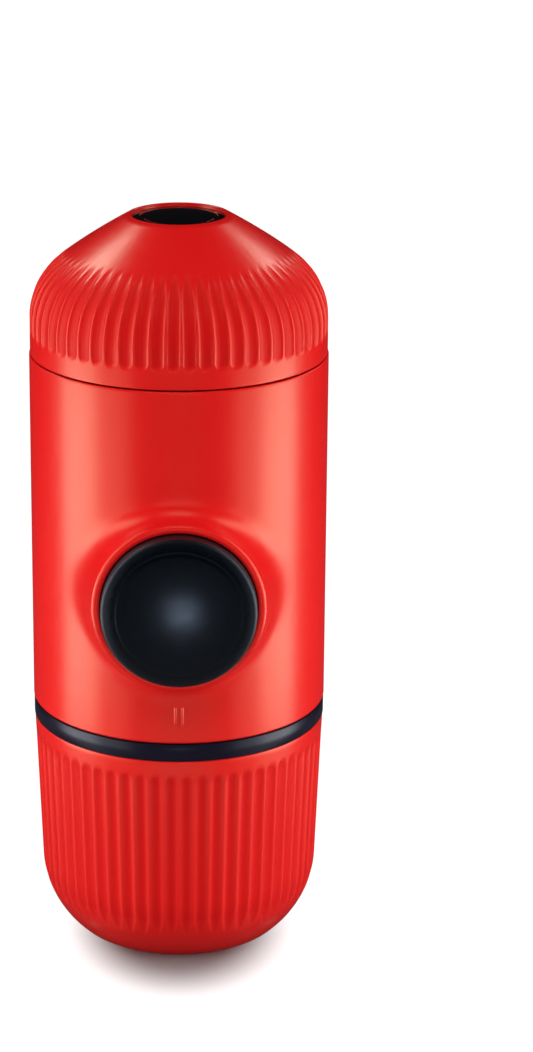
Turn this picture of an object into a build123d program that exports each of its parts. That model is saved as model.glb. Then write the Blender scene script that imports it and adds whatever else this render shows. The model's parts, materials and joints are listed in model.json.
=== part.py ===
from build123d import *
import os
from math import atan2, cos, degrees, pi, radians, sin, sqrt, tan

# Portable espresso maker: fluted water tank, hand-pumped body, brewing head and cup, as separate pieces.
# Millimetres, +Z up. The bottle's axis is Z, it stands on Z = 0, and the piston faces the front, -Y.
# Everything stands as it travels: tank and cup screwed on, piston pressed in and locked.

os.makedirs("parts", exist_ok=True)

# Clearances
SEAT = 0.05            # radial gap of pieces that are pressed or screwed together for good
RUNNING = 0.08         # radial gap of a shaft or piston that slides
SLIP = 0.25            # radial gap of pieces that are screwed apart by hand
REST = 0.1             # gap between faces that meet when the maker is closed
PAST = 1.0             # how far a cut runs past the face that it opens

# Heights of the stack, from the table up
tank_height = 47.9
collar_height = 3.4
shadow_gap = 0.7
body_height = 75.0
seam_gap = 0.3
cup_side_height = 7.2        # from the cup's rim to where its shoulder starts

# Outer form
body_radius = 31.0
collar_step = 0.1            # how much each piece is slimmer than the one that it meets
tank_step = 0.1
cup_step = 0.2
tank_draft = 1.3             # how much the tank's side draws in down to its rounding
tank_low_height = 15.0       # where the side meets the bottom rounding
tank_bottom_rounding = 20.8
cup_shoulder_rounding = 15.0
cup_cone_angle = 33.7        # of the cone above the shoulder, from level
cup_recess_rim = 0.8         # wall between the badge's recess and the cone
edge_chamfer = 0.5
collar_chamfer = 0.3

# Walls
tank_wall = 2.0
vessel_wall = 1.5
body_wall = 2.2
cup_wall = 1.6
liner_wall = 1.5
cup_top_thickness = 2.2

# Flutes
flute_count = 60
flute_width = 2.2
flute_floor_share = 0.4      # of the flute's width that its flat floor takes
flute_mouth_share = 0.6      # of the flute's width where it runs in at the plain band
flute_tip_share = 0.15       # of the flute's width at its pointed tip
cup_flute_depth = 0.5
cup_flute_foot = 3.4         # above the cup's rim
cup_flute_run_in = 1.6
cup_flute_angles = (0, 14, 28)
cup_fade_angle = 42
cup_fade_share = 0.7
tank_flute_depth = 0.4
tank_flute_head = 4.3        # below the tank's rim
tank_flute_run_in = 2.0
tank_flute_foot_angle = -12.0
tank_flute_end_angle = -24.0
tank_base_angle = -37.0
inner_angles = (20, 40)      # of the points along the cup's inner rounding
tank_inner_angle = -30.0     # of the last point along the tank's inner rounding

# Piston and its bezel
piston_rise = 31.0           # axis above the body's lower edge
piston_radius = 15.8
piston_face_radius = 12.9
piston_proud = 9.0           # face in front of the body's cylinder
piston_crown = 0.8
piston_edge_drop = 3.6
piston_crown_wall = 3.5
piston_skirt_wall = 1.5
piston_skirt_length = 26.6
piston_stroke = 20.0
piston_twist = 60.0
bezel_reach = 4.5            # rim in front of the body's cylinder
bezel_rim_width = 2.0        # red ring round the button
bezel_edge = 0.6
bezel_inner_slope = 0.9
bezel_taper = 0.25           # growth in radius for each millimetre back
bezel_length = 14.4
bezel_blend = 2.5
bezel_lip = 2.0
sleeve_wall = 1.3
sleeve_length = 15.4
lug_height = 1.0
lug_length = 2.0
lug_root = 0.5
lug_arc = 14.0
lug_angles = (-90, 90)       # one lug below and one above
channel_slack = 3.0          # degrees that a channel leaves beside the lug
rod_radius = 3.0
rod_boss_radius = 5.0
rod_boss_length = 6.0
rod_socket_depth = 1.0
rod_end_gap = 1.1
rod_end_length = 1.0
rod_end_step = 0.5
rod_collar_length = 0.6
rod_collar_height = 1.2
bore_radius = 5.5
cylinder_wall = 2.5
cylinder_length = 27.0
cylinder_standoff = 16.8     # from the cylinder's rear face to the body's wall behind it
guide_nose = 3.0
guide_skirt = 4.0
guide_wall = 1.2
spring_seat_radius = 13.0
spring_seat_thickness = 2.0
spring_seat_setback = 4.0
spring_radius = 11.5
spring_wire = 1.2
spring_turns = 7
spring_sides = 12
seal_length = 3.4

# Alignment bars under the bezel
bar_height = 4.0
bar_width = 0.4
bar_spacing = 1.7
bar_foot = 4.1               # above the body's lower edge
bar_relief = 0.25
bar_root = 0.5               # wall left behind a bar

# Lower frame
neck_step = 3.6              # from the body's inside to the neck
neck_wall = 2.4
neck_length = 10.8
mouth_length = 7.3
mouth_slope = 2.0
deck_thickness = 2.7
deck_recess = 0.3            # deck above the body's lower edge
main_seal_drop = 2.0
main_seal_height = 1.6
main_seal_depth = 0.7
post_radius = 2.6
post_angle = 31.3            # of the posts from the side
post_clearance = 0.4         # from a screw's head to the chamber's wall
screw_radius = 1.2
screw_length = 9.0
screw_head_radius = 2.0
screw_head_side = 0.9
screw_head_height = 1.5
screw_crown_radius = 1.2
strainer_radius = 4.2
strainer_length = 4.8
strainer_wall = 0.7
strainer_hole_radius = 0.6
strainer_holes = 5

# Valve block and valves
block_width = 16.0
block_front = 6.3            # in front of the valves' axis
block_back = 6.7
block_corner = 3.0
valve_bore_radius = 3.4
port_radius = 1.3
ball_radius = 2.4
seat_cone = 1.1
inlet_seat_length = 5.5
inlet_chamber_length = 19.0
outlet_chamber_length = 14.4
retainer_length = 3.2
valve_spring_radius = 2.2
valve_spring_wire = 0.4
valve_spring_turns = 4
valve_spring_sides = 8
air_flap_radius = 3.2
air_flap_edge = 0.5
air_flap_height = 1.2
air_flap_bevel = 0.2
air_knob_height = 2.0
air_knob_radius = 1.9
air_knob_tip = 1.0

# Brewing chamber and what is in it, from the body's top down
chamber_wall = 2.1
chamber_floor = 2.6
chamber_top_gap = 0.5        # chamber's rim below the body's
chamber_slip = 0.4           # round the basket
chamber_ledge = 2.0
chamber_ledge_width = 1.5
plenum_depth = 1.0
screen_ledge = 0.9
screen_thickness = 0.8
screen_screw_skin = 0.8      # floor left under the screen's screw
screen_screw_head = 0.8
basket_gap = 0.3
basket_wall = 1.5
basket_flange_step = 2.0
basket_flange_height = 1.5
filter_thickness = 0.8
filter_depth = 0.6           # filter plate below the basket's top
filter_ledge = 0.8
scoop_wall = 1.4
scoop_floor = 2.5
scoop_gap = 0.4
scoop_headroom = 1.6
hole_radius = 0.8
hole_pitch = 6.0             # between the rings of holes in a sieve plate
hole_ring_count = 2
hole_turn = 11.5

# Neck, head and cup fittings
neck_ring_wall = 2.3
neck_ring_height = 7.1       # above the body
neck_ring_depth = 5.4        # below the body's top
cup_slip = 0.45              # between the neck ring and the cup
gasket_height = 0.8
gasket_width = 2.2
head_plug_height = 1.4
head_flange_step = 1.0
head_flange_height = 2.8
head_cavity_inset = 1.0
head_cavity_height = 1.2
head_cavity_crown = 1.0
head_hub_radius = 13.0
head_hub_draft = 3.0
head_hub_height = 1.0
spout_radius = 5.6
spout_foot_step = 1.0
spout_foot_height = 2.5
head_bore_radius = 4.0
rib_count = 8
rib_width = 1.6
rib_inset = 1.6              # from the flange's edge
rib_height = 1.0             # above the flange at its outer end
rib_rise = 2.3               # above the flange at the spout
valve_seat_depth = 4.0
nozzle_bore_radius = 1.5
nozzle_length = 9.0
nozzle_proud = 1.0
nozzle_lip = 1.2
cup_headroom = 1.75          # over the nozzle
valve_disc_step = 0.8
valve_disc_edge = 1.0
valve_disc_height = 1.4
valve_stem_radius = 1.2
valve_stem_height = 2.6
cup_seal_height = 1.2
cup_seal_bite = 0.2
cup_seal_rise = 2.4
cup_seal_depth = 0.7
badge_radius = 9.8
badge_depth = 1.4
badge_thickness = 0.9
badge_chamfer = 0.3

# Radii worked out from the body's, outside first
collar_radius = body_radius - collar_step
tank_top_radius = collar_radius - tank_step
tank_low_radius = tank_top_radius - tank_draft
cup_side_radius = body_radius - cup_step
cup_top_radius = badge_radius + cup_recess_rim
inner_radius = body_radius - body_wall
deck_radius = inner_radius - SEAT
neck_radius = inner_radius - neck_step
neck_inner = neck_radius - neck_wall
liner_out = cup_wall + SEAT
liner_in = liner_out + liner_wall
liner_bore = cup_side_radius - liner_in
neck_ring_outer = liner_bore - cup_slip
neck_ring_inner = neck_ring_outer - neck_ring_wall
chamber_outer = neck_ring_inner - SEAT
flange_bore = chamber_outer - chamber_wall
basket_flange_radius = flange_bore - SLIP
basket_radius = basket_flange_radius - basket_flange_step
basket_inner = basket_radius - basket_wall
chamber_radius = basket_radius + chamber_slip
post_ring = chamber_radius + chamber_wall + post_clearance + screw_head_radius

# Centres of the tank's and the cup's roundings
collar_low = tank_height
collar_high = collar_low + collar_height
body_low = collar_high + shadow_gap
body_high = body_low + body_height
cup_low = body_high + seam_gap
tank_taper = atan2(tank_top_radius - tank_low_radius, tank_height - tank_low_height)
tank_centre_r = tank_low_radius - tank_bottom_rounding * cos(tank_taper)
tank_centre_z = tank_low_height + tank_bottom_rounding * sin(tank_taper)
cup_slope = radians(cup_cone_angle)
cup_cone_end = 90 - cup_cone_angle
cup_centre_r = cup_side_radius - cup_shoulder_rounding
cup_centre_z = cup_low + cup_side_height
cup_high = cup_centre_z + (
    cup_shoulder_rounding + sin(cup_slope) * (cup_centre_r - cup_top_radius)
) / cos(cup_slope)

# Levels worked out from the stack
piston_height = body_low + piston_rise
deck_low = body_low + deck_recess
deck_high = deck_low + deck_thickness
ceiling = cup_high - cup_top_thickness
liner_ceiling = ceiling - SEAT - liner_wall
nozzle_high = liner_ceiling - cup_headroom
spout_high = nozzle_high - nozzle_proud
nozzle_low = nozzle_high - nozzle_length

# Piston and bezel, along -Y from the bottle's axis
piston_face_y = -(body_radius + piston_proud)
bezel_rim_y = -(body_radius + bezel_reach)
bezel_base_y = bezel_rim_y + bezel_length
bezel_bore = piston_radius + SLIP
bezel_rim_radius = piston_radius + bezel_rim_width
sleeve_radius = piston_radius + RUNNING + sleeve_wall
sleeve_front_y = bezel_rim_y + bezel_lip + REST
sleeve_back_y = sleeve_front_y + sleeve_length
skirt_front_y = piston_face_y + piston_crown + piston_edge_drop
skirt_back_y = skirt_front_y + piston_skirt_length
crown_back_y = piston_face_y + piston_crown_wall
cylinder_radius = bore_radius + cylinder_wall
cylinder_back = inner_radius - cylinder_standoff
cylinder_front_y = cylinder_back - cylinder_length
seat_front_y = cylinder_back - spring_seat_setback
valve_y = cylinder_back + block_front
piston_axis = Axis((0, 0, piston_height), (0, 1, 0))
piston_plane = Plane.XY.offset(piston_height)

# Brewing chamber levels: its floor clears the piston's guide sleeve, its top follows the body's
chamber_low = piston_height + sleeve_radius + SLIP
chamber_floor_top = chamber_low + chamber_floor
screen_low = chamber_floor_top + plenum_depth
screen_high = screen_low + screen_thickness
chamber_high = body_high - chamber_top_gap
thread_low = chamber_high + REST
plug_low = thread_low - head_plug_height
gasket_low = plug_low - gasket_height
basket_high = gasket_low
basket_low = screen_high + basket_gap
basket_step = basket_high - basket_flange_height
filter_high = basket_high - filter_depth
filter_low = filter_high - filter_thickness
scoop_low = screen_high + screen_screw_head + basket_gap
scoop_high = filter_low - scoop_headroom
ledge_high = body_high - neck_ring_depth
ledge_low = ledge_high - chamber_ledge
neck_ring_high = body_high + neck_ring_height
flange_low = neck_ring_high + REST
flange_high = flange_low + head_flange_height
valve_seat = flange_low - valve_seat_depth


def ring_solid(inner, outer, low, high):
    """A plain ring about the bottle's axis."""
    with BuildPart() as ring:
        with BuildSketch(Plane.XY.offset(low)):
            Circle(outer)
            Circle(inner, mode=Mode.SUBTRACT)
        extrude(amount=high - low)
    return ring.part


def coil(radius, wire, length, turns, sides):
    """A compression spring along +Z from the origin: a square wire in short runs, sides of them to a turn."""
    count = turns * sides
    rise = (length - 2 * wire) / count
    points = []
    for index in range(count + 1):
        angle = 2 * pi * index / sides
        points.append((radius * cos(angle), radius * sin(angle), wire + rise * index))
    with BuildPart() as spring:
        with BuildLine() as path:
            Polyline(*points)
        with BuildSketch(Plane(origin=path.line @ 0, z_dir=path.line % 0)):
            Rectangle(wire, wire)
        sweep(path=path.line, transition=Transition.RIGHT)
    return spring.part


def outline_of_flutes(radius, depth, share):
    """Corners of one level of a fluted wall: two ridge edges and two floor edges for each flute.

    A ridge stands at the front. The share is how much of its full width a flute has at this level.
    """
    half_angle = share * flute_width / 2 / body_radius
    corners = ((-1, 0), (-flute_floor_share, depth), (flute_floor_share, depth), (1, 0))
    points = []
    for index in range(flute_count):
        middle = 2 * pi * (index + 0.5) / flute_count - pi / 2
        for side, cut in corners:
            angle = middle + side * half_angle
            points.append(((radius - cut) * cos(angle), (radius - cut) * sin(angle)))
    return points


def fluted_solid(levels):
    """A closed solid through levels of (radius, height, flute depth, share of flute width), walls straight."""
    with BuildPart() as solid:
        for radius, height, depth, share in levels:
            with BuildSketch(Plane.XY.offset(height)):
                Polygon(*outline_of_flutes(radius, depth, share), align=None)
        loft(ruled=True)
    return solid.part


def turned(points):
    """A solid turned about the bottle's axis from a closed outline of (radius, height) points."""
    with BuildPart() as solid:
        with BuildSketch(Plane.XZ):
            with BuildLine():
                Polyline(*points, close=True)
            make_face()
        revolve(axis=Axis.Z)
    return solid.part


def turned_about_piston(points, arc=360.0, start=0.0):
    """A solid turned about the piston's axis from (radius, y) points, arc degrees from start."""
    plane = piston_plane.rotated((0, start, 0))
    with BuildPart() as solid:
        with BuildSketch(plane):
            with BuildLine():
                Polyline(*points, close=True)
            make_face()
        revolve(axis=piston_axis, revolution_arc=arc)
    return solid.part


def sieve_plate(radius, middle_hole, low, thickness):
    """A round plate with a hole in its middle and rings of small holes about it."""
    with BuildPart() as plate:
        with BuildSketch(Plane.XY.offset(low)):
            Circle(radius)
            Circle(middle_hole, mode=Mode.SUBTRACT)
            for ring in range(1, hole_ring_count + 1):
                with PolarLocations(ring * hole_pitch, 6 * ring, start_angle=hole_turn):
                    Circle(hole_radius, mode=Mode.SUBTRACT)
        extrude(amount=thickness)
    return plate.part


def tank_point(inset, angle):
    """Point on the tank's bottom rounding, moved inwards by inset, at an angle in degrees above level."""
    reach = tank_bottom_rounding - inset
    return tank_centre_r + reach * cos(radians(angle)), tank_centre_z + reach * sin(radians(angle))


def tank_side(inset, height):
    """Point on the tank's tapering side at a height."""
    radius = tank_low_radius + (height - tank_low_height) * tan(tank_taper) - inset / cos(tank_taper)
    return radius, height


def tank_floor(inset):
    """Point where the tank's rounding, moved inwards by inset, meets a floor that thick."""
    reach = tank_bottom_rounding - inset
    return tank_centre_r + sqrt(reach**2 - (tank_centre_z - inset) ** 2), inset


def cup_point(inset, angle):
    """Point on the cup's shoulder rounding, moved inwards by inset."""
    reach = cup_shoulder_rounding - inset
    return cup_centre_r + reach * cos(radians(angle)), cup_centre_z + reach * sin(radians(angle))


def cup_cone(inset, height):
    """Point on the cup's cone at a height, moved inwards by inset."""
    end_r, end_z = cup_point(inset, cup_cone_end)
    return end_r - (height - end_z) / tan(cup_slope), height


def keep(piece, name):
    """Label a finished piece and write it under its name."""
    piece.label = name
    export_step(piece, f"parts/{name}.step")


# Tank shell: fluted, tapering a little, with a deep rounding down to the flat base
flute_head = tank_height - tank_flute_head
tank_side_angle = -degrees(tank_taper)
with BuildPart() as tank_shell:
    add(fluted_solid([
        (*tank_floor(0), 0, flute_tip_share),
        (*tank_point(0, tank_base_angle), 0, flute_tip_share),
        (*tank_point(0, tank_flute_end_angle), 0, flute_tip_share),
        (*tank_point(0, tank_flute_foot_angle), tank_flute_depth, 1),
        (*tank_point(0, tank_side_angle), tank_flute_depth, 1),
        (*tank_side(0, flute_head - tank_flute_run_in), tank_flute_depth, 1),
        (*tank_side(0, flute_head), 0, flute_mouth_share),
        (*tank_side(0, tank_height), 0, flute_mouth_share),
    ]))
    add(turned([
        (0, tank_wall),
        tank_floor(tank_wall),
        tank_point(tank_wall, tank_inner_angle),
        tank_point(tank_wall, tank_flute_foot_angle),
        tank_side(tank_wall, tank_low_height),
        tank_side(tank_wall, tank_height),
        (0, tank_height),
    ]), mode=Mode.SUBTRACT)
keep(tank_shell.part, "tank_shell")

# Water vessel: lines the shell, and its collar is the dark ring under the body
vessel_out = tank_wall + SEAT
vessel_in = vessel_out + vessel_wall
mouth_radius = neck_radius + SLIP + REST
mouth_low = collar_high - mouth_length
with BuildPart() as tank_vessel:
    add(turned([
        (0, vessel_out),
        tank_floor(vessel_out),
        tank_point(vessel_out, tank_inner_angle),
        tank_point(vessel_out, tank_flute_foot_angle),
        tank_side(vessel_out, tank_low_height),
        tank_side(vessel_out, collar_low),
        (collar_radius, collar_low),
        (collar_radius, collar_high),
        (mouth_radius, collar_high),
        (mouth_radius, mouth_low),
        tank_side(vessel_in, mouth_low - mouth_slope),
        tank_side(vessel_in, tank_low_height),
        tank_point(vessel_in, tank_flute_foot_angle),
        tank_point(vessel_in, tank_inner_angle),
        tank_floor(vessel_in),
        (0, vessel_in),
    ]))
    rims = tank_vessel.edges().filter_by(GeomType.CIRCLE).filter_by(
        lambda edge: abs(edge.radius - collar_radius) < SEAT / 2)
    chamfer(rims, collar_chamfer)
keep(tank_vessel.part, "tank_vessel")

# Main seal in the lower neck's groove
groove_high = deck_low - main_seal_drop
groove_low = groove_high - main_seal_height
groove_radius = neck_radius - main_seal_depth
with BuildPart() as main_seal:
    add(ring_solid(groove_radius + RUNNING, neck_radius + SLIP, groove_low + RUNNING, groove_high - RUNNING))
keep(main_seal.part, "main_seal")

# Chassis: neck into the tank, deck and four posts up to the brewing chamber
neck_low = deck_low - neck_length
post_x = post_ring * cos(radians(post_angle))
post_y = post_ring * sin(radians(post_angle))
post_places = [(x, y) for x in (-post_x, post_x) for y in (-post_y, post_y)]
with BuildPart() as chassis:
    add(turned([
        (0, deck_low), (neck_inner, deck_low), (neck_inner, neck_low), (neck_radius, neck_low),
        (neck_radius, groove_low), (groove_radius, groove_low), (groove_radius, groove_high),
        (neck_radius, groove_high), (neck_radius, deck_low), (deck_radius, deck_low),
        (deck_radius, deck_high), (0, deck_high),
    ]))
    with BuildSketch(Plane.XY.offset(deck_high)):
        with Locations(*post_places):
            Circle(post_radius)
    extrude(amount=chamber_low - deck_high)
    with BuildSketch(Plane.XY.offset(chamber_low)):
        with Locations(*post_places):
            Circle(screw_radius + SEAT)
    extrude(amount=-(screw_length - chamber_floor + REST), mode=Mode.SUBTRACT)
    with BuildSketch(Plane.XY.offset(deck_low)):
        with Locations((0, valve_y), (0, -valve_y)):
            Circle(port_radius)
    extrude(amount=deck_thickness, mode=Mode.SUBTRACT)
keep(chassis.part, "chassis")

# Brewing chamber: floor on the posts, stepped bore for the basket, ledge for the neck ring
chamber_side = chamber_radius + chamber_wall
ledge_radius = neck_ring_inner + chamber_ledge_width
with BuildPart() as brew_chamber:
    add(turned([
        (0, chamber_low), (deck_radius, chamber_low), (deck_radius, chamber_floor_top),
        (chamber_side, chamber_floor_top), (chamber_side, ledge_low), (ledge_radius, ledge_low),
        (ledge_radius, ledge_high), (chamber_outer, ledge_high), (chamber_outer, chamber_high),
        (flange_bore, chamber_high), (flange_bore, basket_step), (chamber_radius, basket_step),
        (chamber_radius, screen_low), (chamber_radius - screen_ledge, screen_low),
        (chamber_radius - screen_ledge, chamber_floor_top), (0, chamber_floor_top),
    ]))
    with BuildSketch(Plane.XY.offset(chamber_low)):
        with Locations(*post_places):
            Circle(screw_radius + SEAT)
        with Locations((0, valve_y)):
            Circle(port_radius)
    extrude(amount=chamber_floor, mode=Mode.SUBTRACT)
    with BuildSketch(Plane.XY.offset(chamber_floor_top)):
        Circle(screw_radius + SEAT)
    extrude(amount=-(chamber_floor - screen_screw_skin), mode=Mode.SUBTRACT)
keep(brew_chamber.part, "brew_chamber")

# Pan head screws through the chamber's floor into the posts
screw_side = screw_length + screw_head_side
screw_top = screw_length + screw_head_height
with BuildPart() as chassis_screws:
    with Locations(*[(x, y, chamber_floor_top - screw_length) for x, y in post_places]):
        add(turned([
            (0, 0), (screw_radius, 0), (screw_radius, screw_length), (screw_head_radius, screw_length),
            (screw_head_radius, screw_side), (screw_crown_radius, screw_top), (0, screw_top),
        ]))
keep(chassis_screws.part, "chassis_screws")

# Shower screen on its ledge, held by one screw
keep(sieve_plate(chamber_radius - SEAT, screw_radius + SEAT, screen_low, screen_thickness), "shower_screen")
screen_screw_top = screen_high + screen_screw_head
with BuildPart() as screen_screw:
    add(turned([
        (0, chamber_low + screen_screw_skin + REST), (screw_radius, chamber_low + screen_screw_skin + REST),
        (screw_radius, screen_high), (screw_head_radius, screen_high),
        (screw_crown_radius, screen_screw_top), (0, screen_screw_top),
    ]))
keep(screen_screw.part, "screen_screw")

# Filter basket: open side down over the scoop, sieve plate in its upper end
filter_radius = basket_inner + filter_ledge
with BuildPart() as filter_basket:
    add(turned([
        (basket_inner, basket_low), (basket_radius, basket_low), (basket_radius, basket_step),
        (basket_flange_radius, basket_step), (basket_flange_radius, basket_high),
        (filter_radius, basket_high), (filter_radius, filter_low), (basket_inner, filter_low),
    ]))
keep(filter_basket.part, "filter_basket")
keep(sieve_plate(filter_radius - SEAT, hole_radius, filter_low, filter_thickness), "basket_filter")

# Scoop: thick flat base for tamping, thin rim
scoop_radius = basket_inner - scoop_gap
scoop_inner = scoop_radius - scoop_wall
with BuildPart() as scoop:
    add(turned([
        (0, scoop_low), (scoop_radius, scoop_low), (scoop_radius, scoop_high), (scoop_inner, scoop_high),
        (scoop_inner, scoop_low + scoop_floor), (0, scoop_low + scoop_floor),
    ]))
keep(scoop.part, "scoop")

# Neck ring: closes the body's top, takes the head inside and the cup outside
with BuildPart() as neck_ring:
    add(turned([
        (neck_ring_inner, ledge_high), (deck_radius, ledge_high), (deck_radius, body_high - REST),
        (neck_ring_outer, body_high - REST), (neck_ring_outer, neck_ring_high - edge_chamfer),
        (neck_ring_outer - edge_chamfer, neck_ring_high), (neck_ring_inner, neck_ring_high),
    ]))
keep(neck_ring.part, "neck_ring")

# Head gasket on the basket's flange
gasket_inner = basket_flange_radius - gasket_width
with BuildPart() as head_gasket:
    add(ring_solid(gasket_inner, basket_flange_radius, gasket_low, plug_low))
keep(head_gasket.part, "head_gasket")

# Outlet head: plug, thread, flange with grip ribs and a hub that carries the spout
thread_radius = neck_ring_inner - SLIP
head_flange_radius = neck_ring_outer - head_flange_step
cavity_radius = gasket_inner - head_cavity_inset
cavity_high = plug_low + head_cavity_height
hub_top = flange_high + head_hub_height
spout_foot = flange_high + spout_foot_height
rib_root = (head_bore_radius + spout_radius) / 2
with BuildPart() as outlet_head:
    add(turned([
        (0, cavity_high + head_cavity_crown), (cavity_radius / 2, cavity_high + head_cavity_crown),
        (cavity_radius, cavity_high), (cavity_radius, plug_low), (basket_flange_radius, plug_low),
        (basket_flange_radius, thread_low), (thread_radius, thread_low), (thread_radius, flange_low),
        (head_flange_radius, flange_low), (head_flange_radius, flange_high - edge_chamfer),
        (head_flange_radius - edge_chamfer, flange_high), (head_hub_radius, flange_high),
        (head_hub_radius - head_hub_draft, hub_top), (spout_radius + spout_foot_step, spout_foot),
        (spout_radius, spout_high), (0, spout_high),
    ]))
    with BuildSketch(Plane.XZ.offset(-rib_width / 2)) as rib:
        with BuildLine():
            Polyline(
                (rib_root, flange_low), (head_flange_radius - rib_inset, flange_low),
                (head_flange_radius - rib_inset, flange_high + rib_height),
                (rib_root, flange_high + rib_rise), close=True,
            )
        make_face()
    with PolarLocations(0, rib_count):
        add(extrude(rib.sketch, amount=rib_width, mode=Mode.PRIVATE))
    with BuildSketch(Plane.XY.offset(valve_seat)):
        Circle(head_bore_radius)
    extrude(amount=spout_high - valve_seat, mode=Mode.SUBTRACT)
    with BuildSketch(Plane.XY.offset(cavity_high)):
        Circle(port_radius)
    extrude(amount=valve_seat - cavity_high, mode=Mode.SUBTRACT)
keep(outlet_head.part, "outlet_head")

# Pressure valve, its spring and the nozzle in the head's bore
valve_disc_radius = head_bore_radius - valve_disc_step
stem_foot = valve_seat + valve_disc_height
stem_top = valve_seat + valve_stem_height
with BuildPart() as pressure_valve:
    add(turned([
        (0, valve_seat), (valve_disc_radius, valve_seat), (valve_disc_radius, valve_seat + valve_disc_edge),
        (valve_stem_radius, stem_foot), (valve_stem_radius, stem_top), (0, stem_top),
    ]))
keep(pressure_valve.part, "pressure_valve")

pressure_spring_low = stem_foot + REST
pressure_spring_room = nozzle_low - REST - pressure_spring_low
with BuildPart() as pressure_valve_spring:
    with Locations((0, 0, pressure_spring_low)):
        add(coil(valve_spring_radius, valve_spring_wire, pressure_spring_room, valve_spring_turns,
                 valve_spring_sides))
keep(pressure_valve_spring.part, "pressure_valve_spring")

nozzle_radius = head_bore_radius - SEAT
with BuildPart() as outlet_nozzle:
    add(turned([
        (nozzle_bore_radius, nozzle_low), (nozzle_radius, nozzle_low), (nozzle_radius, spout_high),
        (head_bore_radius - nozzle_lip, nozzle_high), (nozzle_bore_radius, nozzle_high),
    ]))
keep(outlet_nozzle.part, "outlet_nozzle")

# Body shell: cylinder with the piston's bezel growing out of its front
bezel_base_radius = bezel_rim_radius + bezel_taper * bezel_length
with BuildPart() as body_shell:
    with BuildSketch(Plane.XY.offset(body_low)):
        Circle(body_radius)
    extrude(amount=body_height)
    chamfer(body_shell.edges().filter_by(GeomType.CIRCLE), edge_chamfer)
    with BuildSketch(piston_plane):
        with BuildLine():
            Polyline(
                (0, bezel_rim_y), (bezel_rim_radius - bezel_edge, bezel_rim_y),
                (bezel_rim_radius, bezel_rim_y + bezel_edge), (bezel_base_radius, bezel_base_y),
                (0, bezel_base_y), close=True,
            )
        make_face()
    revolve(axis=piston_axis)
    seams = body_shell.edges().filter_by(
        lambda edge: edge.geom_type not in (GeomType.CIRCLE, GeomType.LINE))
    fillet(seams, bezel_blend)
    with BuildSketch(Plane.XY.offset(body_low)):
        Circle(inner_radius)
    extrude(amount=body_height, mode=Mode.SUBTRACT)
    add(turned_about_piston([
        (0, bezel_rim_y - PAST), (bezel_bore + bezel_inner_slope + PAST, bezel_rim_y - PAST),
        (bezel_bore, bezel_rim_y + bezel_inner_slope), (bezel_bore, sleeve_front_y - REST),
        (sleeve_radius + SEAT, sleeve_front_y - REST), (sleeve_radius + SEAT, 0), (0, 0),
    ]), mode=Mode.SUBTRACT)
    bar_front = body_radius + bar_relief
    for side in (-1, 1):
        with Locations((side * bar_spacing / 2, -bar_front, body_low + bar_foot)):
            Box(bar_width, bar_front - inner_radius - bar_root, bar_height,
                align=(Align.CENTER, Align.MIN, Align.MIN))
keep(body_shell.part, "body_shell")

# Guide sleeve: two channels open at the back let the skirt's lugs slide, and turn anticlockwise from the front
channel_front_y = skirt_back_y - lug_length - piston_stroke - REST
channel_arc = piston_twist + lug_arc + 2 * channel_slack
with BuildPart() as guide_sleeve:
    add(turned_about_piston([
        (piston_radius + RUNNING, sleeve_front_y), (sleeve_radius, sleeve_front_y),
        (sleeve_radius, sleeve_back_y), (piston_radius + RUNNING, sleeve_back_y),
    ]))
    for lug_angle in lug_angles:
        add(turned_about_piston([
            (piston_radius - PAST, channel_front_y), (sleeve_radius + PAST, channel_front_y),
            (sleeve_radius + PAST, sleeve_back_y + PAST), (piston_radius - PAST, sleeve_back_y + PAST),
        ], channel_arc, lug_angle - piston_twist - lug_arc / 2 - channel_slack), mode=Mode.SUBTRACT)
keep(guide_sleeve.part, "guide_sleeve")

# Piston button: crowned face, sloping edge band, skirt with two lugs, boss for the rod
skirt_inner = piston_radius - piston_skirt_wall
crown_sphere = (piston_face_radius**2 + piston_crown**2) / (2 * piston_crown)
crown_middle = piston_face_radius / 2
crown_middle_y = piston_face_y + crown_sphere - sqrt(crown_sphere**2 - crown_middle**2)
rod_socket = rod_radius + SEAT
with BuildPart() as piston_head:
    with BuildSketch(piston_plane):
        with BuildLine():
            face = ThreePointArc(
                (0, piston_face_y), (crown_middle, crown_middle_y),
                (piston_face_radius, piston_face_y + piston_crown))
            Polyline(
                face @ 1, (piston_radius, skirt_front_y), (piston_radius, skirt_back_y),
                (skirt_inner, skirt_back_y), (skirt_inner, crown_back_y), (rod_boss_radius, crown_back_y),
                (rod_boss_radius, crown_back_y + rod_boss_length),
                (rod_socket, crown_back_y + rod_boss_length), (rod_socket, crown_back_y - rod_socket_depth),
                (0, crown_back_y - rod_socket_depth), face @ 0,
            )
        make_face()
    revolve(axis=piston_axis)
    for lug_angle in lug_angles:
        add(turned_about_piston([
            (piston_radius - lug_root, skirt_back_y - lug_length),
            (piston_radius + lug_height, skirt_back_y - lug_length),
            (piston_radius + lug_height, skirt_back_y), (piston_radius - lug_root, skirt_back_y),
        ], lug_arc, lug_angle - lug_arc / 2))
keep(piston_head.part, "piston_head")

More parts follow.
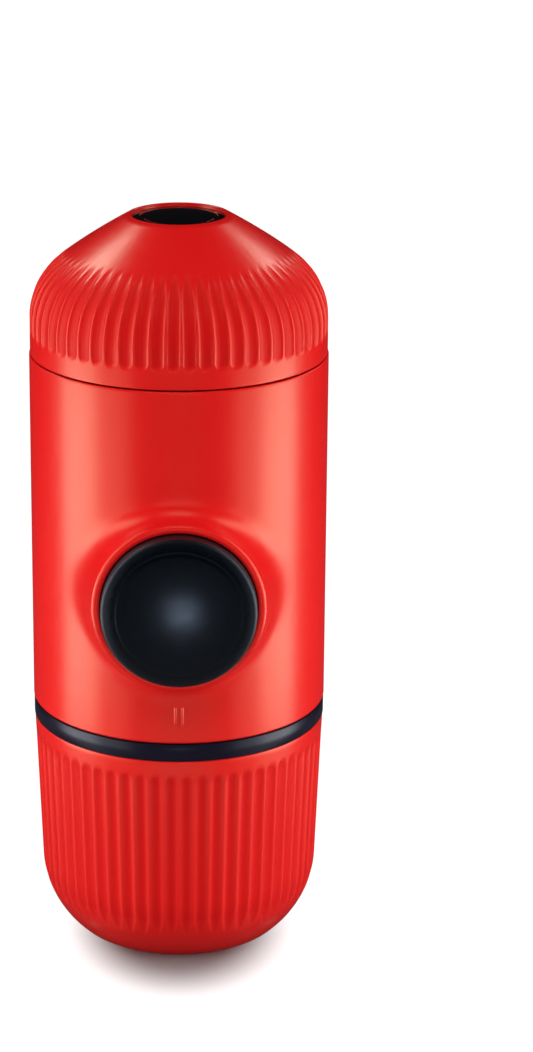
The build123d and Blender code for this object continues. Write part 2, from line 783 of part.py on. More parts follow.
# Rod with its end collars, and the seal between them
rod_front_y = crown_back_y - rod_socket_depth + REST
rod_end_y = cylinder_back - rod_end_gap
seal_back_y = rod_end_y - rod_end_length
seal_front_y = seal_back_y - seal_length
rod_collar_radius = rod_radius + rod_collar_height
rod_end_radius = bore_radius - rod_end_step
with BuildPart() as piston_rod:
    add(turned_about_piston([
        (0, rod_front_y), (rod_radius, rod_front_y),
        (rod_radius, seal_front_y - rod_collar_length), (rod_collar_radius, seal_front_y - rod_collar_length),
        (rod_collar_radius, seal_front_y - RUNNING), (rod_radius, seal_front_y - RUNNING),
        (rod_radius, seal_back_y + RUNNING), (rod_end_radius, seal_back_y + RUNNING),
        (rod_end_radius, rod_end_y), (0, rod_end_y),
    ]))
keep(piston_rod.part, "piston_rod")

with BuildPart() as piston_seal:
    add(turned_about_piston([
        (rod_radius + SEAT, seal_front_y), (bore_radius - RUNNING, seal_front_y),
        (bore_radius - RUNNING, seal_back_y), (rod_radius + SEAT, seal_back_y),
    ]))
keep(piston_seal.part, "piston_seal")

# Pump cylinder with the spring's seat, and the guide that caps its mouth
seat_back_y = seat_front_y + spring_seat_thickness
with BuildPart() as pump_cylinder:
    add(turned_about_piston([
        (bore_radius, cylinder_front_y), (cylinder_radius, cylinder_front_y),
        (cylinder_radius, seat_front_y), (spring_seat_radius, seat_front_y),
        (spring_seat_radius, seat_back_y), (cylinder_radius, seat_back_y),
        (cylinder_radius, cylinder_back), (bore_radius, cylinder_back),
    ]))
keep(pump_cylinder.part, "pump_cylinder")

guide_front_y = cylinder_front_y - guide_nose
guide_back_y = cylinder_front_y + guide_skirt
guide_radius = cylinder_radius + guide_wall
with BuildPart() as rod_guide:
    add(turned_about_piston([
        (rod_radius + RUNNING, guide_front_y), (guide_radius, guide_front_y), (guide_radius, guide_back_y),
        (cylinder_radius + SEAT, guide_back_y), (cylinder_radius + SEAT, cylinder_front_y),
        (rod_radius + RUNNING, cylinder_front_y),
    ]))
keep(rod_guide.part, "rod_guide")

# Return spring round the cylinder, from its seat to the button
spring_front_y = crown_back_y + REST
spring_length = seat_front_y - REST - spring_front_y
with BuildPart() as return_spring:
    with Locations(Location((0, spring_front_y, piston_height), (-90, 0, 0))):
        add(coil(spring_radius, spring_wire, spring_length, spring_turns, spring_sides))
keep(return_spring.part, "return_spring")
print("least gap between the return spring's turns, mm:", round(spring_length / spring_turns - spring_wire, 2))

# Valve block between deck and chamber: pump port, inlet valve below it, outlet valve above it
outlet_seat_top = chamber_low - outlet_chamber_length
with BuildPart() as valve_block:
    with BuildSketch(Plane.XY.offset(deck_high)):
        with Locations((0, cylinder_back)):
            Rectangle(block_width, block_front + block_back, align=(Align.CENTER, Align.MIN))
    extrude(amount=chamber_low - deck_high)
    fillet(valve_block.edges().filter_by(Axis.Z).group_by(Axis.Y)[-1], block_corner)
    with BuildSketch(Plane.XY.offset(deck_high)):
        with Locations((0, valve_y)):
            Circle(valve_bore_radius)
    extrude(amount=inlet_chamber_length, mode=Mode.SUBTRACT)
    with BuildSketch(Plane.XY.offset(deck_high)):
        with Locations((0, valve_y)):
            Circle(port_radius)
    extrude(amount=chamber_low - deck_high, mode=Mode.SUBTRACT)
    with Locations((0, valve_y, 0)):
        add(turned([
            (0, outlet_seat_top - seat_cone), (port_radius, outlet_seat_top - seat_cone),
            (port_radius + seat_cone, outlet_seat_top), (valve_bore_radius, outlet_seat_top),
            (valve_bore_radius, chamber_low), (0, chamber_low),
        ]), mode=Mode.SUBTRACT)
    with BuildSketch(Plane.XZ.offset(-cylinder_back)):
        with Locations((0, piston_height)):
            Circle(port_radius)
    extrude(amount=-block_front, mode=Mode.SUBTRACT)
keep(valve_block.part, "valve_block")


def ball_height(cone_top):
    """Height of a ball's centre over a 45 degree seat that is port_radius wide at its foot."""
    return cone_top - seat_cone - port_radius + (ball_radius + SEAT) * sqrt(2)


def valve_ball(cone_top):
    """A ball standing on its seat in the valve block."""
    with BuildPart() as ball:
        with Locations((0, valve_y, ball_height(cone_top))):
            Sphere(ball_radius)
    return ball.part


def valve_spring(low, high):
    """A valve's spring between two heights."""
    with BuildPart() as spring:
        with Locations((0, valve_y, low)):
            add(coil(valve_spring_radius, valve_spring_wire, high - low, valve_spring_turns,
                     valve_spring_sides))
    return spring.part


def valve_ring(points):
    """A ring turned about the valves' axis from a closed outline of (radius, height) points."""
    with BuildPart() as ring:
        with Locations((0, valve_y, 0)):
            add(turned(points))
    return ring.part


# Valve seat, balls, springs and retainer, all on the valves' axis
valve_fit = valve_bore_radius - SEAT
inlet_seat_top = deck_high + inlet_seat_length
inlet_spring_low = ball_height(inlet_seat_top) + ball_radius + REST
outlet_spring_low = ball_height(outlet_seat_top) + ball_radius + REST
retainer_low = chamber_low - retainer_length
keep(valve_ring([
    (port_radius, deck_high), (valve_fit, deck_high), (valve_fit, inlet_seat_top),
    (port_radius + seat_cone, inlet_seat_top), (port_radius, inlet_seat_top - seat_cone),
]), "inlet_seat")
keep(valve_ball(inlet_seat_top), "inlet_ball")
keep(valve_ball(outlet_seat_top), "outlet_ball")
keep(valve_spring(inlet_spring_low, deck_high + inlet_chamber_length - REST), "inlet_spring")
keep(valve_spring(outlet_spring_low, retainer_low - REST), "outlet_spring")
keep(valve_ring([
    (port_radius, retainer_low), (valve_fit, retainer_low), (valve_fit, chamber_low),
    (port_radius, chamber_low),
]), "valve_retainer")

# Intake strainer under the deck, and the air valve opposite
strainer_low = deck_low - strainer_length
strainer_inner = strainer_radius - strainer_wall
with BuildPart() as intake_strainer:
    add(valve_ring([
        (0, strainer_low), (strainer_radius, strainer_low), (strainer_radius, deck_low),
        (strainer_inner, deck_low), (strainer_inner, strainer_low + strainer_wall),
        (0, strainer_low + strainer_wall),
    ]))
    with BuildSketch(Plane.XY.offset(strainer_low)):
        with Locations((0, valve_y)):
            with PolarLocations(strainer_radius / 2, strainer_holes):
                Circle(strainer_hole_radius)
    extrude(amount=strainer_wall, mode=Mode.SUBTRACT)
keep(intake_strainer.part, "intake_strainer")

air_stem_radius = port_radius - SEAT
with BuildPart() as air_valve:
    with Locations((0, -valve_y, 0)):
        add(turned([
            (0, deck_low - air_flap_height), (air_flap_radius - air_flap_bevel, deck_low - air_flap_edge),
            (air_flap_radius, deck_low), (air_stem_radius, deck_low), (air_stem_radius, deck_high),
            (air_knob_radius, deck_high), (air_knob_tip, deck_high + air_knob_height),
            (0, deck_high + air_knob_height),
        ]))
keep(air_valve.part, "air_valve")

# Cup shell: smooth rim band, flutes that fade to points round the shoulder, cone with the badge's recess
cup_run_in = cup_low + cup_flute_foot
with BuildPart() as cup_shell:
    add(fluted_solid([
        (cup_side_radius, cup_low, 0, flute_mouth_share),
        (cup_side_radius, cup_run_in, 0, flute_mouth_share),
        (cup_side_radius, cup_run_in + cup_flute_run_in, cup_flute_depth, 1),
        *[(*cup_point(0, angle), cup_flute_depth, 1) for angle in cup_flute_angles],
        (*cup_point(0, cup_fade_angle), cup_flute_depth * cup_fade_share, cup_fade_share),
        (*cup_point(0, cup_cone_end), 0, flute_tip_share),
        (cup_top_radius, cup_high, 0, flute_tip_share),
    ]))
    add(turned([
        (0, cup_low), (cup_side_radius - cup_wall, cup_low), cup_point(cup_wall, 0),
        *[cup_point(cup_wall, angle) for angle in inner_angles],
        cup_point(cup_wall, cup_cone_end), cup_cone(cup_wall, ceiling), (0, ceiling),
    ]), mode=Mode.SUBTRACT)
    with BuildSketch(Plane.XY.offset(cup_high)):
        Circle(badge_radius)
    extrude(amount=-badge_depth, mode=Mode.SUBTRACT)
keep(cup_shell.part, "cup_shell")

# Cup liner: the cup that is drunk from, with the groove for its seal
seal_groove = liner_bore + cup_seal_depth
cup_seal_low = cup_low + cup_seal_rise
cup_seal_high = cup_seal_low + cup_seal_height
with BuildPart() as cup_liner:
    add(turned([
        (0, ceiling - SEAT), cup_cone(liner_out, ceiling - SEAT), cup_point(liner_out, cup_cone_end),
        *[cup_point(liner_out, angle) for angle in reversed(inner_angles)], cup_point(liner_out, 0),
        (cup_side_radius - liner_out, cup_low), (liner_bore, cup_low), (liner_bore, cup_seal_low - RUNNING),
        (seal_groove, cup_seal_low - RUNNING), (seal_groove, cup_seal_high + RUNNING),
        (liner_bore, cup_seal_high + RUNNING), cup_point(liner_in, 0),
        *[cup_point(liner_in, angle) for angle in inner_angles],
        cup_point(liner_in, cup_cone_end), cup_cone(liner_in, liner_ceiling), (0, liner_ceiling),
    ]))
keep(cup_liner.part, "cup_liner")

with BuildPart() as cup_seal:
    add(ring_solid(liner_bore - cup_seal_bite, seal_groove - RUNNING, cup_seal_low, cup_seal_high))
keep(cup_seal.part, "cup_seal")

# Badge: plain glossy disc, bare
with BuildPart() as cup_badge:
    with BuildSketch(Plane.XY.offset(cup_high - badge_depth)):
        Circle(badge_radius - SEAT)
    extrude(amount=badge_thickness)
    chamfer(cup_badge.edges().group_by(Axis.Z)[-1], badge_chamfer)
keep(cup_badge.part, "cup_badge")
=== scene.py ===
"""Looks of a hand-pumped portable espresso maker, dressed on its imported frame.

Each sub-assembly is a class that holds its sizes in metres, works out its surfaces with numpy and puts them
on the body that carries them. Levels come from the frame; roundings, flutes and numbers of points are fields.
"""
import json
import logging
import math
from dataclasses import dataclass, field
from enum import Enum

import bpy
import numpy as np
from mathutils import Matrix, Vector


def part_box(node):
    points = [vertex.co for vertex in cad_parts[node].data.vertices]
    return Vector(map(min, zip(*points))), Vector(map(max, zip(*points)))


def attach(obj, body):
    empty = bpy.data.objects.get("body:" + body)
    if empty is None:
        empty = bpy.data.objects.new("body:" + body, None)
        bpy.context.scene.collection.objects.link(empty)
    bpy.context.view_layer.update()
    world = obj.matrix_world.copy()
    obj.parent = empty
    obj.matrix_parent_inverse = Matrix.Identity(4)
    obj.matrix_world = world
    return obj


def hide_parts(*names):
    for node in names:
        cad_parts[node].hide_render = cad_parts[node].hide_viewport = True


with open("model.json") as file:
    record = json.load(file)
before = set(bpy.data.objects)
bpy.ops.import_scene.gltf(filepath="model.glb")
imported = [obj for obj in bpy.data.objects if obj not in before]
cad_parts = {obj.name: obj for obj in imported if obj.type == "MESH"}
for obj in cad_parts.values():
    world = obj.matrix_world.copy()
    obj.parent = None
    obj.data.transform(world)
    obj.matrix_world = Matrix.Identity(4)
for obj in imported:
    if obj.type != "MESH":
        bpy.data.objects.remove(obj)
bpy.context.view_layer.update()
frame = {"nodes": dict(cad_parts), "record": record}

LOG = logging.getLogger("espresso_maker")
MM = 0.001
# The red finish darkens its colour by these marks as painted shade on groove floors.
GROOVE = "groove"    # name of the marks that tell a finish how deep in a groove a point lies
ON_AXIS = 1e-9       # a radius below this counts as none
SIDE_SHARE = 0.45    # the most of a side that the curve at one end of it takes up

Point = tuple[float, float]
Colour = tuple[float, float, float]


# Surfaces

def line(start: Point, end: Point, count: int) -> np.ndarray:
    """Points on a straight stretch of an outline.

    Args:
        start: first point, as (radius, height).
        end: last point.
        count: number of points, both ends included.

    Returns:
        Array of count points.
    """
    share = np.linspace(0.0, 1.0, count)[:, None]
    return np.array(start) * (1 - share) + np.array(end) * share


def arc(centre: Point, radius: float, start: float, end: float, count: int) -> np.ndarray:
    """Points on a round stretch of an outline: centre plus radius times (cos a, sin a).

    Args:
        centre: (radius, height) of the arc's centre.
        radius: the arc's own radius.
        start: first angle in degrees, 0 outwards and 90 up.
        end: last angle in degrees.
        count: number of points, both ends included.

    Returns:
        Array of count points.
    """
    angle = np.radians(np.linspace(start, end, count))
    return np.array(centre) + radius * np.stack([np.cos(angle), np.sin(angle)], axis=1)


def rounded(corners: list[Point], radius: float, steps: int) -> np.ndarray:
    """A closed outline with each corner rounded.

    Each corner is replaced by a quadratic curve from one side to the other, which touches both.

    Args:
        corners: the outline's corners, as (radius, height), in order.
        radius: how far from a corner its curve starts, at most SIDE_SHARE of the shorter side.
        steps: points on each curve, less one.

    Returns:
        Array of points, not repeated at the end. A corner on the axis stays sharp.
    """
    points = np.array(corners, float)
    before = np.roll(points, 1, axis=0) - points
    after = np.roll(points, -1, axis=0) - points
    reach = [np.linalg.norm(side, axis=1) for side in (before, after)]
    cut = np.minimum(radius, SIDE_SHARE * np.minimum(*reach))
    cut = np.where(points[:, 0] < ON_AXIS, 0.0, cut)
    starts = points + before / reach[0][:, None] * cut[:, None]
    ends = points + after / reach[1][:, None] * cut[:, None]
    share = np.linspace(0.0, 1.0, steps + 1)[None, :, None]
    curves = (starts[:, None] * (1 - share) ** 2 + 2 * points[:, None] * share * (1 - share)
              + ends[:, None] * share ** 2)
    return np.concatenate([curve if size > 0 else curve[:1] for curve, size in zip(curves, cut)])


def whole_turn(count: int) -> np.ndarray:
    """Angles of count columns about an axis, in radians, the first at the front."""
    return np.linspace(0.0, 2 * math.pi, count, endpoint=False)


def upright(radius: np.ndarray, height: np.ndarray, angle: np.ndarray) -> np.ndarray:
    """Points about the bottle's axis: x is r sin a, y is -r cos a, so that angle 0 is the front."""
    radius, height, angle = np.broadcast_arrays(radius, height, angle)
    return np.stack([radius * np.sin(angle), -radius * np.cos(angle), height], axis=-1)


def facing(radius: np.ndarray, depth: np.ndarray, angle: np.ndarray, axis_height: float) -> np.ndarray:
    """Points about the piston's axis, along Y at axis_height: x is r sin a, z is r cos a above the axis."""
    radius, depth, angle = np.broadcast_arrays(radius, depth, angle)
    return np.stack([radius * np.sin(angle), depth, axis_height + radius * np.cos(angle)], axis=-1)


class Skin:
    """Grids of points that are joined into one closed mesh."""

    GRAIN = 2.0e6    # points nearer than half a micrometre become one
    OFFSET = 0.37    # keeps points that are worked out in two ways off the edge between two cells

    def __init__(self) -> None:
        """Start with no points."""
        self.points: list[np.ndarray] = []
        self.quads: list[np.ndarray] = []
        self.marks: list[np.ndarray] = []
        self.count = 0

    def add(self, grid: np.ndarray, close_rows: bool = False, groove: np.ndarray | None = None) -> "Skin":
        """Add a grid of points, whose last column joins the first, and the four-cornered faces between them.

        Args:
            grid: array of rows by columns by 3.
            close_rows: whether the last row joins the first too.
            groove: how far each point lies in a groove, from 0 to 1, or None for nowhere.

        Returns:
            The skin itself.
        """
        rows, columns = grid.shape[:2]
        index = self.count + np.arange(rows * columns).reshape(rows, columns)
        if close_rows:
            index = np.vstack([index, index[:1]])
        index = np.hstack([index, index[:, :1]])
        corners = (index[:-1, :-1], index[:-1, 1:], index[1:, 1:], index[1:, :-1])
        self.quads.append(np.stack([corner.ravel() for corner in corners], axis=1))
        self.points.append(grid.reshape(-1, 3))
        self.marks.append(np.zeros(rows * columns) if groove is None else groove.ravel())
        self.count += rows * columns
        return self

    def faces(self) -> tuple[np.ndarray, np.ndarray, np.ndarray]:
        """Merge points that coincide, and drop faces that this leaves without an area.

        Returns:
            The points, the triangles after each face is cut along its first diagonal, and the points' marks.
        """
        points = np.vstack(self.points)
        cells = np.floor(points * self.GRAIN + self.OFFSET).astype(np.int64)
        _, first, inverse = np.unique(cells, axis=0, return_index=True, return_inverse=True)
        quads = inverse.reshape(-1)[np.vstack(self.quads)]
        triangles = np.vstack([quads[:, (0, 1, 2)], quads[:, (0, 2, 3)]])
        a, b, c = triangles.T
        triangles = triangles[(a != b) & (b != c) & (c != a)]
        return points[first], triangles, np.concatenate(self.marks)[first]

    def piece(self, name: str) -> bpy.types.Object:
        """Make the object, at the origin, with its faces outwards.

        The volume is the sum over triangles of a . (b x c) / 6, and a negative one means inside out.

        Args:
            name: the piece's name.

        Returns:
            The new object, smooth shaded and linked to the scene.
        """
        points, triangles, marks = self.faces()
        corners = points[triangles]
        volume = np.einsum("ij,ij->", corners[:, 0], np.cross(corners[:, 1], corners[:, 2])) / 6
        if volume < 0:
            triangles = triangles[:, ::-1]
        mesh = bpy.data.meshes.new(name)
        mesh.vertices.add(len(points))
        mesh.vertices.foreach_set("co", points.ravel())
        mesh.loops.add(3 * len(triangles))
        mesh.loops.foreach_set("vertex_index", triangles.ravel())
        mesh.polygons.add(len(triangles))
        mesh.polygons.foreach_set("loop_start", 3 * np.arange(len(triangles)))
        mesh.update(calc_edges=True)
        mesh.validate()
        mesh.polygons.foreach_set("use_smooth", np.ones(len(mesh.polygons), bool))
        if marks.any():
            mesh.attributes.new(GROOVE, "FLOAT", "POINT").data.foreach_set("value", marks)
        thing = bpy.data.objects.new(name, mesh)
        bpy.context.scene.collection.objects.link(thing)
        return thing


def turned(name: str, outline: np.ndarray, columns: int) -> bpy.types.Object:
    """A piece turned about the bottle's axis from a closed outline of (radius, height) points."""
    grid = upright(outline[:, :1], outline[:, 1:], whole_turn(columns)[None, :])
    return Skin().add(grid, close_rows=True).piece(name)


def outward(outline: np.ndarray) -> np.ndarray:
    """Unit normals of an open outline that runs up its outer side: the tangent turned a quarter clockwise.

    Args:
        outline: the outline's points, as (radius, height).

    Returns:
        Array of one normal for each point.
    """
    tangent = np.gradient(outline, axis=0)
    tangent /= np.linalg.norm(tangent, axis=1)[:, None]
    return np.stack([tangent[:, 1], -tangent[:, 0]], axis=1)


def travelled(outline: np.ndarray) -> np.ndarray:
    """Distance along an outline from its first point to each point."""
    steps = np.linalg.norm(np.diff(outline, axis=0), axis=1)
    return np.concatenate([[0.0], np.cumsum(steps)])


def travelled_to(outline: np.ndarray, height: float) -> float:
    """Distance along an outline from its first point to the one that is nearest to a height."""
    return travelled(outline)[np.argmin(np.abs(outline[:, 1] - height))]


# Materials

class Slot(Enum):
    """The record's material slots."""

    RED = "red_plastic"
    DARK = "dark_plastic"
    BLACK = "black_plastic"
    BUTTON = "button_plastic"
    NYLON = "grey_nylon"
    BADGE = "badge_plastic"
    STEEL = "steel"
    SPRING = "spring_steel"
    SILICONE = "silicone"


class Graph:
    """A material's node tree, built one node at a time."""

    NOISE_LOW = 0.3     # a soft noise seldom falls below this
    NOISE_HIGH = 0.7    # nor rises above this

    def __init__(self, name: str) -> None:
        """Make an empty material with a surface shader.

        Args:
            name: the material's name.
        """
        self.material = bpy.data.materials.new(name)
        self.material.use_nodes = True
        self.tree = self.material.node_tree
        self.shader = self.tree.nodes["Principled BSDF"]
        self.place = self.tree.nodes.new("ShaderNodeTexCoord").outputs["Object"]

    def set(self, **values: object) -> None:
        """Set the shader's own sockets, named with underscores for spaces."""
        for name, value in values.items():
            self.shader.inputs[name.replace("_", " ")].default_value = value

    def gloss(self, tint: Colour, in_groove: float) -> None:
        """Tint the mirror part of the shader, and leave only a share of it in the floors of grooves.

        Args:
            tint: colour of the mirror part.
            in_groove: share of it that stays on a groove's floor, 1 for all.
        """
        socket = self.shader.inputs["Specular Tint"]
        socket.default_value = (*tint, 1.0)
        if in_groove < 1.0:
            dull = self.tree.nodes.new("ShaderNodeMix")
            dull.data_type = "RGBA"
            dull.inputs["A"].default_value = (*tint, 1.0)
            dull.inputs["B"].default_value = (*(in_groove * level for level in tint), 1.0)
            self.tree.links.new(self.groove(), dull.inputs["Factor"])
            self.tree.links.new(dull.outputs["Result"], socket)

    def noise(self, scale: float, detail: float = 2.0, stretch: tuple[float, float, float] = (1, 1, 1)
              ) -> bpy.types.NodeSocket:
        """Soft noise from 0 to 1 on object coordinates.

        Args:
            scale: waves in a metre.
            detail: how many finer layers are added.
            stretch: factors on the three axes.

        Returns:
            The noise's output.
        """
        place = self.tree.nodes.new("ShaderNodeMapping")
        place.inputs["Scale"].default_value = stretch
        self.tree.links.new(self.place, place.inputs["Vector"])
        noise = self.tree.nodes.new("ShaderNodeTexNoise")
        noise.inputs["Scale"].default_value = scale
        noise.inputs["Detail"].default_value = detail
        self.tree.links.new(place.outputs["Vector"], noise.inputs["Vector"])
        return noise.outputs["Fac"]

    def spread(self, source: bpy.types.NodeSocket, low: float, high: float) -> bpy.types.NodeSocket:
        """Map a noise's middle range to a range of its own.

        Args:
            source: the noise's output.
            low: value at the noise's low end.
            high: value at its high end.

        Returns:
            The mapped value's output.
        """
        node = self.tree.nodes.new("ShaderNodeMapRange")
        ends = {"From Min": self.NOISE_LOW, "From Max": self.NOISE_HIGH, "To Min": low, "To Max": high}
        for name, value in ends.items():
            node.inputs[name].default_value = value
        self.tree.links.new(source, node.inputs["Value"])
        return node.outputs["Result"]

    def tint(self, share: bpy.types.NodeSocket, low: Colour, high: Colour, groove_painted_shade: float = 0.0) -> None:
        """Run the base colour from one colour to another, and darken it in grooves as painted shade for the
        shade that falls there.

        Args:
            share: output that runs from 0 to 1.
            low: colour at 0.
            high: colour at 1.
            groove_painted_shade: share of the colour that a groove's floor loses.
        """
        ramp = self.tree.nodes.new("ShaderNodeValToRGB")
        ramp.color_ramp.elements[0].color = (*low, 1.0)
        ramp.color_ramp.elements[1].color = (*high, 1.0)
        self.tree.links.new(share, ramp.inputs["Fac"])
        colour = ramp.outputs["Color"]
        # Painted shade: the groove marks darken the base colour on groove floors.
        if groove_painted_shade:
            dark = self.tree.nodes.new("ShaderNodeMix")
            dark.data_type = "RGBA"
            dark.blend_type = "MULTIPLY"
            dark.inputs["B"].default_value = (1.0 - groove_painted_shade, 1.0 - groove_painted_shade, 1.0 - groove_painted_shade, 1.0)
            self.tree.links.new(self.groove(), dark.inputs["Factor"])
            self.tree.links.new(colour, dark.inputs["A"])
            colour = dark.outputs["Result"]
        self.tree.links.new(colour, self.shader.inputs["Base Color"])

    def groove(self) -> bpy.types.NodeSocket:
        """How far a point lies in a groove, from the mesh's own marks.

        Returns:
            Output that runs from 0 outside a groove to 1 on its floor.
        """
        mark = self.tree.nodes.new("ShaderNodeAttribute")
        mark.attribute_name = GROOVE
        return mark.outputs["Fac"]

    def rough(self, source: bpy.types.NodeSocket, low: float, high: float, grooved: float = 0.0) -> None:
        """Run the roughness with a noise, and raise it on the floors of grooves.

        Args:
            source: the noise's output.
            low: roughness at the noise's low end.
            high: roughness at its high end.
            grooved: roughness that a groove's floor has on top.
        """
        level = self.spread(source, low, high)
        if grooved:
            more = self.tree.nodes.new("ShaderNodeMath")
            more.operation = "MULTIPLY_ADD"
            more.inputs[1].default_value = grooved
            self.tree.links.new(self.groove(), more.inputs[0])
            self.tree.links.new(level, more.inputs[2])
            level = more.outputs["Value"]
        self.tree.links.new(level, self.shader.inputs["Roughness"])

    def bump(self, source: bpy.types.NodeSocket, height: float) -> None:
        """Raise the surface with a noise.

        Args:
            source: the noise's output.
            height: the most that it raises, in metres.
        """
        node = self.tree.nodes.new("ShaderNodeBump")
        node.inputs["Strength"].default_value = 1.0
        node.inputs["Distance"].default_value = height
        self.tree.links.new(source, node.inputs["Height"])
        self.tree.links.new(node.outputs["Normal"], self.shader.inputs["Normal"])


@dataclass(frozen=True)
class Plastic:
    """Moulded plastic: an even colour with a faint drift, painted shade on the floors of grooves where asked,
    and the fine grain of a spark-eroded mould.
    """

    slot: Slot
    colour: Colour
    deep: Colour
    roughness: float
    specular: float = 0.5
    gloss: Colour = (1.0, 1.0, 1.0)
    coat: float = 0.0
    coat_roughness: float = 0.3
    grain: float = 6.0e-6
    grain_scale: float = 5200.0
    drift_scale: float = 35.0
    wear: float = 0.02
    wear_scale: float = 420.0
    wear_detail: float = 3.0
    grooved: float = 0.0
    # Share of the colour that groove floors lose: painted shade for the shade in grooves.
    groove_painted_shade: float = 0.0
    gloss_in_groove: float = 1.0

    def material(self) -> bpy.types.Material:
        """Build the material: slow noise tints it, finer noise varies its roughness, the finest is grain.

        Returns:
            The material.
        """
        graph = Graph(self.slot.value)
        graph.set(Specular_IOR_Level=self.specular, Coat_Weight=self.coat, Coat_Roughness=self.coat_roughness)
        graph.gloss(self.gloss, self.gloss_in_groove)
        drift = graph.spread(graph.noise(self.drift_scale), 0.0, 1.0)
        graph.tint(drift, self.deep, self.colour, self.groove_painted_shade)
        wear = graph.noise(self.wear_scale, self.wear_detail)
        graph.rough(wear, self.roughness - self.wear, self.roughness + self.wear, self.grooved)
        graph.bump(graph.noise(self.grain_scale), self.grain)
        return graph.material


@dataclass(frozen=True)
class Metal:
    """Stainless steel: a satin brushed along one axis, or drawn wire with short fine lines."""

    slot: Slot
    colour: Colour
    deep: Colour
    roughness: float
    stretch: tuple[float, float, float]
    smoother: float = 0.05
    rougher: float = 0.07
    scratch: float = 1.5e-6
    line_scale: float = 900.0
    line_detail: float = 4.0

    def material(self) -> bpy.types.Material:
        """Build the material: stretched noise gives brushing in colour, roughness and relief.

        Returns:
            The material.
        """
        graph = Graph(self.slot.value)
        graph.set(Metallic=1.0)
        lines = graph.noise(self.line_scale, self.line_detail, self.stretch)
        graph.tint(graph.spread(lines, 0.0, 1.0), self.deep, self.colour)
        graph.rough(lines, self.roughness - self.smoother, self.roughness + self.rougher)
        graph.bump(lines, self.scratch)
        return graph.material


@dataclass(frozen=True)
class Silicone:
    """Soft food-grade rubber: milky, with light that goes a little way in and a dull skin."""

    slot: Slot
    colour: Colour
    deep: Colour
    roughness: float = 0.52
    smoother: float = 0.04
    rougher: float = 0.05
    specular: float = 0.4
    scatter: float = 0.25
    depth: float = 0.0006
    drift_scale: float = 160.0
    wear_scale: float = 700.0
    grain: float = 4.0e-6
    grain_scale: float = 3000.0

    def material(self) -> bpy.types.Material:
        """Build the material with scatter below its skin.

        Returns:
            The material.
        """
        graph = Graph(self.slot.value)
        graph.set(Subsurface_Weight=self.scatter, Subsurface_Scale=self.depth,
                  Specular_IOR_Level=self.specular)
        graph.tint(graph.spread(graph.noise(self.drift_scale), 0.0, 1.0), self.deep, self.colour)
        wear = graph.noise(self.wear_scale)
        graph.rough(wear, self.roughness - self.smoother, self.roughness + self.rougher)
        graph.bump(graph.noise(self.grain_scale), self.grain)
        return graph.material


Finish = Plastic | Metal | Silicone

FINISHES: tuple[Finish, ...] = (
    # The red darkens its flute floors as painted shade.
    Plastic(Slot.RED, (0.67, 0.0070, 0.0078), (0.65, 0.0066, 0.0073), 0.30, specular=0.72,
            gloss=(1.0, 0.95, 0.60), grain=3.0e-6, grooved=0.20, groove_painted_shade=0.17, gloss_in_groove=0.15),
    Plastic(Slot.DARK, (0.006, 0.005, 0.013), (0.005, 0.004, 0.011), 0.30, gloss=(0.86, 0.88, 1.0)),
    Plastic(Slot.BLACK, (0.020, 0.020, 0.022), (0.016, 0.016, 0.018), 0.46, grain=9.0e-6),
    Plastic(Slot.BUTTON, (0.0012, 0.0020, 0.0032), (0.0010, 0.0017, 0.0028), 0.21, specular=1.0,
            gloss=(0.72, 0.82, 1.0), coat=0.3, coat_roughness=0.24, grooved=0.40),
    Plastic(Slot.NYLON, (0.150, 0.155, 0.160), (0.125, 0.130, 0.135), 0.55, grain=1.4e-5,
            grain_scale=2600.0),
    Plastic(Slot.BADGE, (0.008, 0.008, 0.010), (0.007, 0.007, 0.009), 0.06, grain=0.0, coat=0.6,
            coat_roughness=0.03),
    Metal(Slot.STEEL, (0.66, 0.66, 0.67), (0.56, 0.56, 0.57), 0.34, (1.0, 0.06, 1.0)),
    Metal(Slot.SPRING, (0.60, 0.61, 0.63), (0.46, 0.47, 0.49), 0.34, (0.5, 0.5, 2.0)),
    Silicone(Slot.SILICONE, (0.62, 0.60, 0.56), (0.55, 0.53, 0.49)),
)


class Workshop:
    """Holds the finishes and puts pieces on their bodies."""

    def __init__(self, finishes: tuple[Finish, ...]) -> None:
        """Build each finish once.

        Args:
            finishes: the finishes, one for each slot.
        """
        self.materials = {finish.slot: finish.material() for finish in finishes}
        self.replaced: set[str] = set()

    def fit(self, piece: bpy.types.Object, body: str, slot: Slot, *nodes: str) -> bpy.types.Object:
        """Dress a piece, put it on its body and let it stand for its nodes.

        Args:
            piece: the piece, in place.
            body: the body that carries it.
            slot: the finish.
            nodes: names of the nodes that it replaces.

        Returns:
            The piece.
        """
        piece.data.materials.clear()
        piece.data.materials.append(self.materials[slot])
        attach(piece, body)
        if nodes:
            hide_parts(*nodes)
            self.replaced.update(nodes)
        LOG.info("%s on %s in %s: %d faces", piece.name, body, slot.value, len(piece.data.polygons))
        return piece

    def dress_nodes(self) -> None:
        """Give each node that still shows the finish that the record names for it."""
        for part in frame["record"]["subparts"]:
            name = part["node"]
            if name in self.replaced:
                continue
            node = frame["nodes"][name]
            material = self.materials[Slot(part["material_slot"])]
            if not node.material_slots:
                node.data.materials.append(material)
            for slot in node.material_slots:
                slot.material = material
            LOG.info("%s keeps its shape in %s", name, part["material_slot"])


# Flutes

